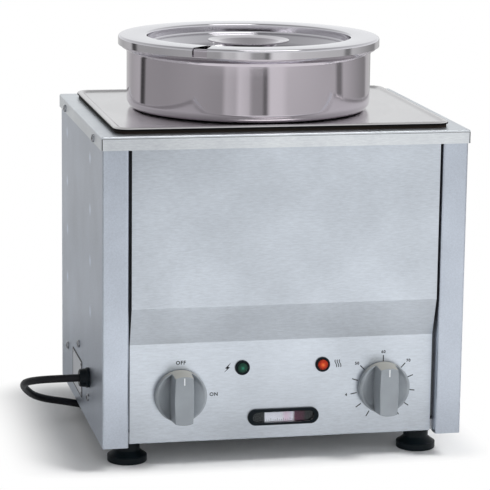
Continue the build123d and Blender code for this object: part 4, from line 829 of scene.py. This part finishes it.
# %% [markdown]
# A white line on each knob's bar shows where it points. Such marks, and all the print below, are very thin
# slabs on an upright face. Each is drawn as an outline of (x, z), and rides on the piece that it marks.


# %% Marks on the knobs
def plaque(name, corners, face_y, rise, finish, body, sunk=0.02):
    """A flat piece on an upright face: an outline of (x, z) in millimetres, raised towards the user."""
    outline = np.array(corners, float)
    front, rear = (np.insert(outline, 1, y, axis=1) * MM for y in (face_y - rise, face_y + sunk))
    piece = add_slab(name, front, rear, finish, body)
    return piece


def bar_between(x0, z0, x1, z1, width):
    """The four corners of a stroke from one point to another."""
    along = np.array((x1 - x0, z1 - z0))
    side = np.array((-along[1], along[0])) / np.linalg.norm(along) * width / 2
    return [(x0 + side[0], z0 + side[1]), (x1 + side[0], z1 + side[1]),
            (x1 - side[0], z1 - side[1]), (x0 - side[0], z0 - side[1])]


ink_rise = 0.03
mark_foot, mark_head, mark_width = knob_z + 15.6, knob_z + 22.6, 1.0
for name, centre_x, body in (("switch_mark", -knob_spread, "switch_knob_set"),
                             ("thermostat_mark", knob_spread, "thermostat_knob_set")):
    plaque(name, bar_between(centre_x, mark_foot, centre_x, mark_head, mark_width),
           fascia_y - knob_reach, ink_rise, mark_white, body)
print("marks are %.1f mm long" % (mark_head - mark_foot))

# %% [markdown]
# The fascia is screen printed: ON and OFF by the switch, a scale with numbers round the thermostat, and a
# sign beside each lamp. Print is a few hundredths of a millimetre of ink, so each sign is a very thin solid
# on the steel. Words are made by the text object, turned into a mesh and laid on the fascia.

# %% Words on the fascia
capital_share = 0.72
letter_spread = 1.16
letter_weight = 0.14
letter_rise = 0.02


def printed_word(name, words, x, z, height_mm):
    """Text as a thin mesh on the fascia, centred on (x, z), from Blender's own plain font."""
    curve = bpy.data.curves.new(name, "FONT")
    curve.body = words
    curve.size = height_mm / capital_share * MM
    curve.space_character = letter_spread
    curve.extrude = letter_rise * MM
    curve.offset = letter_weight * MM
    curve.align_x = "CENTER"
    curve.align_y = "CENTER"
    maker = bpy.data.objects.new(name + "_text", curve)
    bpy.context.scene.collection.objects.link(maker)
    bpy.context.view_layer.update()
    mesh = bpy.data.meshes.new_from_object(maker.evaluated_get(bpy.context.evaluated_depsgraph_get()))
    bpy.data.objects.remove(maker)
    flat = np.empty(len(mesh.vertices) * 3)
    mesh.vertices.foreach_get("co", flat)
    flat = flat.reshape(-1, 3)
    flat = flat - (flat.min(axis=0) + flat.max(axis=0)) / 2
    placed = np.column_stack([x * MM + flat[:, 0], fascia_y * MM - letter_rise / 2 * MM - flat[:, 2],
                              z * MM + flat[:, 1]])
    mesh.vertices.foreach_set("co", placed.ravel())
    mesh.update()
    mesh.materials.clear()
    mesh.materials.append(ink_black)
    piece = bpy.data.objects.new(name, mesh)
    bpy.context.scene.collection.objects.link(piece)
    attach(piece, "cabinet")
    return piece


word_off = printed_word("word_off", "OFF", -knob_spread + 0.8, knob_z + 31.6, 3.6)
word_on = printed_word("word_on", "ON", -knob_spread + 32.8, knob_z - 0.6, 3.5)
print("faces of the words", [len(word.data.polygons) for word in (word_off, word_on)])

# %% [markdown]
# The thermostat's scale is a ring of strokes, with numbers at some of them. Each stroke leans away from the
# middle of the dial, so one angle gives both of its ends by a sine and a cosine.

# %% The thermostat's scale
dial_x, dial_z = knob_spread, knob_z - 1.2
tick_inner, tick_outer, tick_width = 26.2, 32.4, 0.95
number_across, number_up, number_height = 37.0, 35.8, 2.8
tick_degrees = (-150, -125, -99, -72, -45, 0, 43, 69, 97, 126, 149)
numbers = {-99: "4", -45: "50", 0: "60", 43: "70"}


def inked(name, outline, face_y=fascia_y):
    """A stroke of black ink on an upright face."""
    return plaque(name, outline, face_y, ink_rise, ink_black, "cabinet")


for count, degrees in enumerate(tick_degrees):
    lean = math.radians(degrees)
    out = (math.sin(lean), math.cos(lean))
    inked("dial_tick_%02d" % count, bar_between(
        dial_x + out[0] * tick_inner, dial_z + out[1] * tick_inner,
        dial_x + out[0] * tick_outer, dial_z + out[1] * tick_outer, tick_width))
    if degrees in numbers:
        printed_word("dial_number_%02d" % count, numbers[degrees],
                     dial_x + out[0] * number_across, dial_z + out[1] * number_up, number_height)
print("scale strokes", len(tick_degrees), "numbers", len(numbers))

# %% [markdown]
# The cover is folded down at the front. Its two corners show a seam, where the folded edges meet, and along the
# bend between them a fine darker line is painted shade. They are thin strokes on the folded edge.

# %% The cover's seams and the painted shade of its bend
cover_x, cover_foot, cover_bend_z = 176.6, 312.3, 322.8
front_y = -141.5
for count, x in enumerate((-cover_x, cover_x)):
    plaque("cover_seam_%d" % count, bar_between(x, cover_foot, x, cover_bend_z, 0.75), front_y, 0.02,
           ink_black, "cabinet")
# painted shade: a thin dark line along the bend
plaque("cover_bend_shade", bar_between(-cover_x, cover_bend_z, cover_x, cover_bend_z, 0.45), front_y, 0.02,
       painted_shade_grey, "cabinet")
print("seams are %.1f mm high" % (cover_bend_z - cover_foot))

# %% [markdown]
# The sign beside the green lamp is a lightning bolt for power, and three rising waves beside the red lamp
# stand for heat. A wave is a line with a sine in it, drawn up on one side and down on the other.

# %% Signs beside the lamps
bolt = [(-2.6, -5.0), (1.9, 0.2), (0.6, 0.8), (2.8, 5.2), (-1.7, -0.6), (-0.3, -1.1)]
bolt_x, bolt_widening = -54.0, 1.3
inked("power_sign", [(bolt_x + x * bolt_widening, lamp_z + 0.4 + z) for x, z in bolt])
wave_x, wave_pitch, wave_lean, wave_swing, wave_height = 53.4, 2.1, -1.4, 0.5, 7.4
wave_half = (0.42, 0)
share = np.linspace(0, 1, 9)
for count in range(3):
    wave = np.column_stack([wave_x + count * wave_pitch + wave_lean * share
                            + wave_swing * np.sin(share * 2 * math.pi), lamp_z - 3.4 + share * wave_height])
    inked("heat_sign_%d" % count, np.vstack([wave - wave_half, (wave + wave_half)[::-1]]))
print("signs are drawn about the height", lamp_z)

# %% [markdown]
# A gap beside a panel looks black, because little light gets in behind it. Where a straight look through the
# gap would reach a vent in the back, daylight would show, so a narrow dark sheet of painted shade stands behind
# each gap.

# %% Painted shade behind the front gaps
shade_inner, shade_outer, shade_foot, shade_head = 138.0, 153.2, 41.0, 309.0
shade_y = -127.25
# painted shade: a dark grey sheet behind each gap
for count, side in enumerate((-1, 1)):
    plaque("gap_shade_sheet_%d" % count, [(side * shade_inner, shade_foot), (side * shade_outer, shade_foot),
                                     (side * shade_outer, shade_head), (side * shade_inner, shade_head)],
           shade_y, 0.02, painted_shade_grey, "cabinet")
print("shields are %.1f mm wide" % (shade_outer - shade_inner))

# %% [markdown]
# Behind the thermometer's window lies a printed card: a white scale with fine strokes and a pink band, then a
# dark red stretch, between two black ends. The card is a solid with bands of colour from one ramp along X,
# and the strokes are thin slabs on it.

# %% The thermometer's card
window_x, window_z = 1.2, 47.6
card_width = 60.0
card_y = -127.5
card = Finish("thermometer_scale", (0.8, 0.8, 0.82), Roughness=0.4)
card_start = (window_x - card_width / 2) * MM
card_share = card.calculate("MULTIPLY", card.axes((card_start, 0, 0))["X"], 1 / (card_width * MM))
card.link(card.ramp(card_share, [
    (0.0, (0.006, 0.008, 0.01)), (0.19, (0.008, 0.01, 0.012)), (0.21, (0.86, 0.85, 0.92)),
    (0.48, (0.86, 0.83, 0.90)), (0.55, (0.82, 0.62, 0.76)), (0.66, (0.80, 0.76, 0.84)),
    (0.70, (0.10, 0.02, 0.05)), (0.84, (0.06, 0.012, 0.03)), (0.88, (0.006, 0.008, 0.01))]), "Base Color")
nodes["thermometer_card"].data.materials.clear()
nodes["thermometer_card"].data.materials.append(card.material)
stroke_count, stroke_pitch, stroke_width = 14, 2.1, 0.28
stroke_start, stroke_foot = window_x - 18.0, window_z - 4.6
for count in range(stroke_count):
    x = stroke_start + count * stroke_pitch
    tall = 2.6 if count % 3 == 0 else 1.5
    inked("card_tick_%02d" % count, bar_between(x, stroke_foot, x, stroke_foot + tall, stroke_width), card_y)
print("strokes on the card", stroke_count)

# %% [markdown]
# The feet, the lamps and the cord grip are turned shapes. Their solids are drawn with straight facets, so
# the visible ones are spun again with soft edges, inside the same outline. A foot is a wide pad with a
# narrow neck and a bore for its stud.

# %% The feet
foot_spots = {"foot_front_left": (-145, -92.0), "foot_front_right": (145, -92.0),
              "foot_rear_left": (-145, 104.0), "foot_rear_right": (145, 104.0)}
foot_outline = rounded_line([(0, 0), (19.25, 0), (19.25, 6.5), (18.0, 6.9), (12.25, 11.6), (12.25, 27.2),
                             (4.05, 27.2), (4.05, 8.0), (0, 8.0)], [1.0, 0.6, 0.5, 1.2, 0.8, 0, 0], 5)
for name, (x, y) in foot_spots.items():
    foot = lathe(name + "_pad", foot_outline, (x * MM, y * MM, 0), (0, 0, 1), foot_black, name + "_set", 128)
    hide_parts(name)
print("foot width", 2 * foot_outline[:, 0].max(), "mm")

# %% [markdown]
# A lamp is a black bezel, pushed through the fascia from the front, round a lens with a domed face. Both are
# turned round an axis that points at the user.

# %% The lamps' bezels and lenses
bezel_outline = rounded_line([(5.1, -17.2), (5.8, -17.2), (5.8, 0), (7.2, 0), (7.2, 2.2), (5.1, 2.2),
                              (5.1, -17.2)], [0, 0, 0, 0.9, 0.4], 5)[:-1]
lens_outline = rounded_line([(0, -4), (5.05, -4), (5.05, 2.4), (3.2, 3.3), (0, 3.4)], [0.2, 0.8, 2.0], 6)
for lamp, x, glass, slot in (("power_lamp", -lamp_x, green_lens, "green_lens"),
                             ("heat_lamp", lamp_x, red_lens, "red_lens")):
    seat = (x * MM, fascia_y * MM, lamp_z * MM)
    ring = lathe(lamp + "_ring", bezel_outline, seat, (0, -1, 0), black_gloss, "cabinet", 96)
    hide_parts(lamp + "_bezel")
    dome = lathe(lamp + "_dome", lens_outline, seat, (0, -1, 0), glass, "cabinet", 96)
    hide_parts(lamp + "_lens")
print("bezel width", 2 * bezel_outline[:, 0].max(), "mm")

# %% [markdown]
# The cord grip is screwed into the left side panel and clamps the cord, so that a pull on the cord never
# reaches the wires. It is turned round the cord's axis, with a collar, a slightly tapered nose and a bore.

# %% The cord grip
gland_x, gland_y, gland_z = -176, -49.5, 73.0
gland_outline = rounded_line([(3.85, -14), (8.0, -14), (8.0, 0), (10, 0), (10, 2.6), (9.2, 3.6), (8.6, 9),
                              (7.6, 10), (3.85, 10), (3.85, -14)], [0, 0, 0, 0.3, 0.6, 0.4, 0.6, 0.3], 4)[:-1]
gland = lathe("cord_grip", gland_outline, (gland_x * MM, gland_y * MM, gland_z * MM), (-1, 0, 0), black_gloss,
              "cabinet", 96)
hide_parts("cable_gland")
print("grip width", 2 * gland_outline[:, 0].max(), "mm")

# %% [markdown]
# The mains cord is 1.88 metres of three-core lead, 7.5 millimetres thick. It leaves the grip, makes one loop
# and passes under the casing. The length that the picture doesn't show is wound behind the machine in two
# layers: the turns spiral in along the counter, climb, and spiral out again on top.

# %% The cord's route
cord_radius = 3.75
loop_corners = [
    (-178.0, front_y + 92.0, 73.0),
    (-203.0, front_y + 92.0, 73.0),
    (-224.0, front_y + 102.2, 70.0),
    (-236.0, front_y + 125.0, 62.0),
    (-231.5, front_y + 166.0, 45.5),
    (-215.0, front_y + 198.0, 26.0),
    (-176.0, front_y + 208.0, 16.5),
    (-136.0, front_y + 204.0, 8.0),
    (-107.0, front_y + 221.0, 4.4),
    (-94.0, front_y + 253.0, 3.9),
    (-95.0, front_y + 289.0, 3.9),
    (-104.0, front_y + 324.0, 3.9),
    (-107.0, front_y + 360.0, 3.9),
    (-96.0, front_y + 392.0, 4.2),
]
coil_pitch = 8.1
coil_inner, coil_turns = 33.0, 2.5
coil_outer = coil_inner + coil_turns * coil_pitch
rear_y, coil_gap = 153.5, 8.0
coil_centre = np.array((-30.0, rear_y + coil_gap + coil_outer + cord_radius))
coil_low = 4.55
points_per_turn = 16


def coil_points(turns):
    """Spiral in and out: the radius is the inner one plus the pitch times the turns from the middle."""
    away = turns - coil_turns
    swell = 4 / (3 + math.cos(2 * math.pi / points_per_turn))
    radius = (coil_inner + np.abs(away) * coil_pitch) * swell
    climb = np.clip(away * 2 + 0.5, 0, 1)
    z = coil_low + coil_pitch * (1 - np.cos(np.pi * climb)) / 2
    a = math.pi / 2 - turns * 2 * math.pi
    return np.column_stack([coil_centre[0] + radius * np.cos(a), coil_centre[1] + radius * np.sin(a), z])


steps = int(2 * coil_turns * points_per_turn)
wound = coil_points((np.arange(steps) + 0.5) / points_per_turn)
coil_foot = np.array((-37.5, 271.93, coil_low))
lead_in = np.array((-71.5, 272.75, coil_low))
coil_end = np.array((-22.5, 271.93, coil_low + coil_pitch))
route = np.vstack([np.array(loop_corners), lead_in, coil_foot, wound, coil_end]) * MM
print("cord points", len(route))

# %% [markdown]
# A NURBS curve with the route's corners as its control points bends the way a stiff cord does, because it
# cuts smoothly inside each corner. It would also cut inside the coil's corners and make its turns too small,
# so the coil's points stand a little further out. The curve's bevel gives the cord its thickness.

# %% The mains cord
cord_curve = bpy.data.curves.new("supply_cord", "CURVE")
cord_curve.dimensions = "3D"
cord_spline = cord_curve.splines.new("NURBS")
cord_spline.points.add(len(route) - 1)
cord_spline.points.foreach_set("co", np.column_stack([route, np.ones(len(route))]).ravel())
cord_spline.order_u = 3
cord_spline.use_endpoint_u = True
cord_spline.resolution_u = 6
cord_curve.bevel_depth = cord_radius * MM
cord_curve.bevel_resolution = 5
cord_curve.use_fill_caps = True
cord_curve.materials.append(cord_black)
cord = bpy.data.objects.new("supply_cord", cord_curve)
bpy.context.scene.collection.objects.link(cord)
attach(cord, "cabinet")
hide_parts("mains_cord", "cord_coil")
print("cord width", 2 * cord_radius, "mm")

# %% [markdown]
# The light is that of a small studio. One large soft lamp stands high on the right, so the shadow falls to
# the left and behind, and a weaker one fills in from the front. The air round the table gives the rest.


# %% Lamps
def soft_lamp(name, place, target, size, power):
    """A square white lamp at a place, aimed at a target, both in metres, that no mirror shows."""
    data = bpy.data.lights.new(name, "AREA")
    data.shape = "SQUARE"
    data.size = size
    data.energy = power
    lamp = bpy.data.objects.new(name, data)
    bpy.context.scene.collection.objects.link(lamp)
    aim = (Vector(target) - Vector(place)).to_track_quat("-Z", "Y")
    lamp.matrix_world = Matrix.Translation(Vector(place)) @ aim.to_matrix().to_4x4()
    lamp.visible_glossy = False
    return lamp


key = soft_lamp("key_lamp", (1.15, -1.15, 1.75), (0, 0, 0.12), 0.7, 34)
fill = soft_lamp("front_lamp", (0.1, -2.5, 1.3), (0, 0, 0.2), 1.2, 9)
print("watts of the two lamps", key.data.energy, fill.data.energy)

# %% [markdown]
# Polished steel only looks like steel when it has something to mirror. A ring of upright cards stands round
# the table, lighter in some directions than in others. They are seen only in mirrors: they cast no shadow,
# and the camera looks through them. Each band is an angle, 0 in front and 90 on the right, with its
# brightness, and the ring keeps the brightness as an attribute on its corners.

# %% A ring of cards for the steel to mirror
card_radius = 1.15
card_foot = -0.02
card_head = 0.40
card_bands = [
    (-180, 0.60), (-168, 0.62), (-150, 0.50), (-131, 0.62), (-128, 0.08), (-123, 0.08), (-120, 0.42),
    (-92, 0.42), (-60, 0.48), (-36, 0.42), (-32, 0.70), (-24, 0.62), (-20, 0.88), (-12, 0.74), (-9, 0.42),
    (0, 0.40), (2, 0.18), (5, 0.18), (6.5, 0.94), (18, 0.90), (24, 0.72), (60, 0.62), (74, 0.60), (78, 0.24),
    (82, 0.24), (86, 0.62), (104, 0.46), (118, 0.34), (126, 0.30), (132, 0.62), (146, 0.60), (156, 0.34),
    (180, 0.60),
]


def mirror_only(piece):
    """Seen by glossy rays alone."""
    piece.visible_camera = False
    piece.visible_diffuse = False
    piece.visible_shadow = False
    piece.visible_transmission = False
    piece.visible_volume_scatter = False


def glowing(name, strength):
    """Paper that glows by a number, or by an attribute whose name is given."""
    made = bpy.data.materials.new(name)
    made.use_nodes = True
    tree = made.node_tree
    tree.nodes.clear()
    if isinstance(strength, str):
        strength = add_node(tree, "ShaderNodeAttribute", attribute_name=strength).outputs["Fac"]
    light = add_node(tree, "ShaderNodeEmission", {"Strength": strength})
    add_node(tree, "ShaderNodeOutputMaterial", {"Surface": light.outputs[0]})
    return made


columns = 180
degrees = np.linspace(-180, 180, columns, endpoint=False)
facing = np.radians(degrees)
circle = np.column_stack([np.sin(facing), -np.cos(facing)]) * card_radius
points = np.vstack([at_height(circle, z) for z in (card_foot, card_head)])
card_mesh = bpy.data.meshes.new("mirror_cards")
card_mesh.from_pydata(points.tolist(), [], grid_faces(2, columns, False, True).tolist())
band = np.interp(degrees, [at for at, value in card_bands], [value for at, value in card_bands])
glow_attribute = card_mesh.attributes.new("glow", "FLOAT", "POINT")
glow_attribute.data.foreach_set("value", np.tile(band, 2))
card_mesh.materials.append(glowing("card_paper", "glow"))
cards = bpy.data.objects.new("mirror_cards", card_mesh)
bpy.context.scene.collection.objects.link(cards)
mirror_only(cards)
print("card brightness", round(float(band.min()), 2), "to", round(float(band.max()), 2))

# %% [markdown]
# A grey mat and a bright sheet lie before the machine, for the front and the pot to mirror, and a bright
# panel hangs above, as a window would. Each is one rectangle, level from left to right, and the camera looks
# through these too.

# %% Mat, sheet and window for the steel to mirror
# For each: its span in X, then (Y, Z) of its near and of its far edge, in metres, and its brightness.
sheets = {
    "mirror_mat": ((-0.5, 0.6), (-0.31, 0.002), (-0.15, 0.002), 0.60),
    "mirror_table": ((-0.9, 0.9), (-1.12, 0.001), (-0.31, 0.001), 1.04),
    "mirror_window": ((-0.15, 0.55), (-0.55, 1.45), (-0.05, 1.6), 3.2),
}
for name, ((left_x, right_x), near, far, strength) in sheets.items():
    corners = [(left_x, *near), (right_x, *near), (right_x, *far), (left_x, *far)]
    sheet_mesh = bpy.data.meshes.new(name)
    sheet_mesh.from_pydata(corners, [], [(0, 1, 2, 3)])
    sheet_mesh.materials.append(glowing(name + "_paper", strength))
    sheet = bpy.data.objects.new(name, sheet_mesh)
    bpy.context.scene.collection.objects.link(sheet)
    mirror_only(sheet)
print("rectangles to mirror", len(sheets))

# %% [markdown]
# Three kinds of ray see three rooms. The camera sees plain white; mirrors see a bright horizon under a
# darker ceiling, with its left a little darker; everything else gets a plain even light.

# %% The room
white_strength = 1.0
plain_strength = 0.42
world = bpy.data.worlds.new("studio_room")
bpy.context.scene.world = world
world.use_nodes = True
room = world.node_tree
room.nodes.clear()
direction = add_node(room, "ShaderNodeTexCoord").outputs["Generated"]
parts = add_node(room, "ShaderNodeSeparateXYZ", {"Vector": direction})
rise = add_node(room, "ShaderNodeMapRange", {"Value": parts.outputs["Z"], "From Min": -0.1, "From Max": 1.0,
                                             "To Min": 1.12, "To Max": 0.38}).outputs["Result"]
side = add_node(room, "ShaderNodeMapRange", {"Value": parts.outputs["X"], "From Min": -1.0, "From Max": 1.0,
                                             "To Min": 0.78, "To Max": 1.06}).outputs["Result"]
both = add_node(room, "ShaderNodeMath", {0: rise, 1: side}, operation="MULTIPLY").outputs[0]
rays = add_node(room, "ShaderNodeLightPath")
mirrored = add_node(room, "ShaderNodeBackground", {"Color": (0.97, 0.985, 1.0, 1), "Strength": both})
plain = add_node(room, "ShaderNodeBackground", {"Color": (0.98, 0.99, 1.0, 1), "Strength": plain_strength})
white = add_node(room, "ShaderNodeBackground", {"Color": (1, 1, 1, 1), "Strength": white_strength})
lit = add_node(room, "ShaderNodeMixShader", {0: rays.outputs["Is Glossy Ray"], 1: plain.outputs[0],
                                             2: mirrored.outputs[0]})
seen = add_node(room, "ShaderNodeMixShader", {0: rays.outputs["Is Camera Ray"], 1: lit.outputs[0],
                                              2: white.outputs[0]})
add_node(room, "ShaderNodeOutputWorld", {"Surface": seen.outputs[0]})
print("plain room light", plain_strength)

# %% [markdown]
# The counter is a pale plane. Near the machine the camera sees its real light and shadow; far away it fades
# to the white of the background. How far a place lies outside the casing's foot is worked out apart for the
# four sides, each with its own gain, because the shadow reaches further on some of them.

# %% The counter
seen_gain = 0.93
fade_start, fade_end = 0.01, 0.088
# For the left, right, front and rear side: the axis, the gain and where the side starts, in metres.
casing_sides = (("X", -1.0, -0.176), ("X", 2.0, 0.178), ("Y", -2.2, -0.112), ("Y", 1.0, 0.154))
floor_mesh = bpy.data.meshes.new("counter")
floor_mesh.from_pydata([(-9, -9, 0), (9, -9, 0), (9, 9, 0), (-9, 9, 0)], [], [(0, 1, 2, 3)])
floor = bpy.data.objects.new("counter", floor_mesh)
bpy.context.scene.collection.objects.link(floor)
counter = bpy.data.materials.new("counter_white")
counter.use_nodes = True
tree = counter.node_tree
tree.nodes.clear()
paper = add_node(tree, "ShaderNodeBsdfDiffuse", {"Color": (0.84, 0.845, 0.85, 1)})
bright = add_node(tree, "ShaderNodeBsdfDiffuse", {"Color": (seen_gain, seen_gain, seen_gain, 1)})
haze = add_node(tree, "ShaderNodeEmission", {"Color": (1, 1, 1, 1), "Strength": 1.0})
where = add_node(tree, "ShaderNodeTexCoord").outputs["Object"]
spot = add_node(tree, "ShaderNodeSeparateXYZ", {"Vector": where}).outputs


def beyond(axis, gain, start):
    """How far a place lies beyond one side of the machine, in metres times the gain."""
    return add_node(tree, "ShaderNodeMath", {0: spot[axis], 1: gain, 2: start * -gain},
                    operation="MULTIPLY_ADD").outputs[0]


def larger(first, second):
    """The larger of two numbers or sockets."""
    return add_node(tree, "ShaderNodeMath", {0: first, 1: second}, operation="MAXIMUM").outputs[0]


left_side, right_side, front_side, rear_side = (beyond(*side) for side in casing_sides)
across = larger(larger(left_side, right_side), 0.0)
along = larger(larger(front_side, rear_side), 0.0)
away = add_node(tree, "ShaderNodeCombineXYZ", {"X": across, "Y": along}).outputs["Vector"]
distance = add_node(tree, "ShaderNodeVectorMath", {0: away}, operation="LENGTH").outputs["Value"]
fade = add_node(tree, "ShaderNodeMapRange", {"Value": distance, "From Min": fade_start, "From Max": fade_end},
                interpolation_type="SMOOTHSTEP").outputs["Result"]
view = add_node(tree, "ShaderNodeMixShader", {0: fade, 1: bright.outputs[0], 2: haze.outputs[0]})
kind = add_node(tree, "ShaderNodeLightPath")
top = add_node(tree, "ShaderNodeMixShader", {0: kind.outputs["Is Camera Ray"], 1: paper.outputs[0],
                                             2: view.outputs[0]})
add_node(tree, "ShaderNodeOutputMaterial", {"Surface": top.outputs[0]})
floor_mesh.materials.append(counter)
bpy.context.scene.view_settings.view_transform = "Standard"
print("the counter turns white %.0f mm left of the casing" % (fade_end / MM))
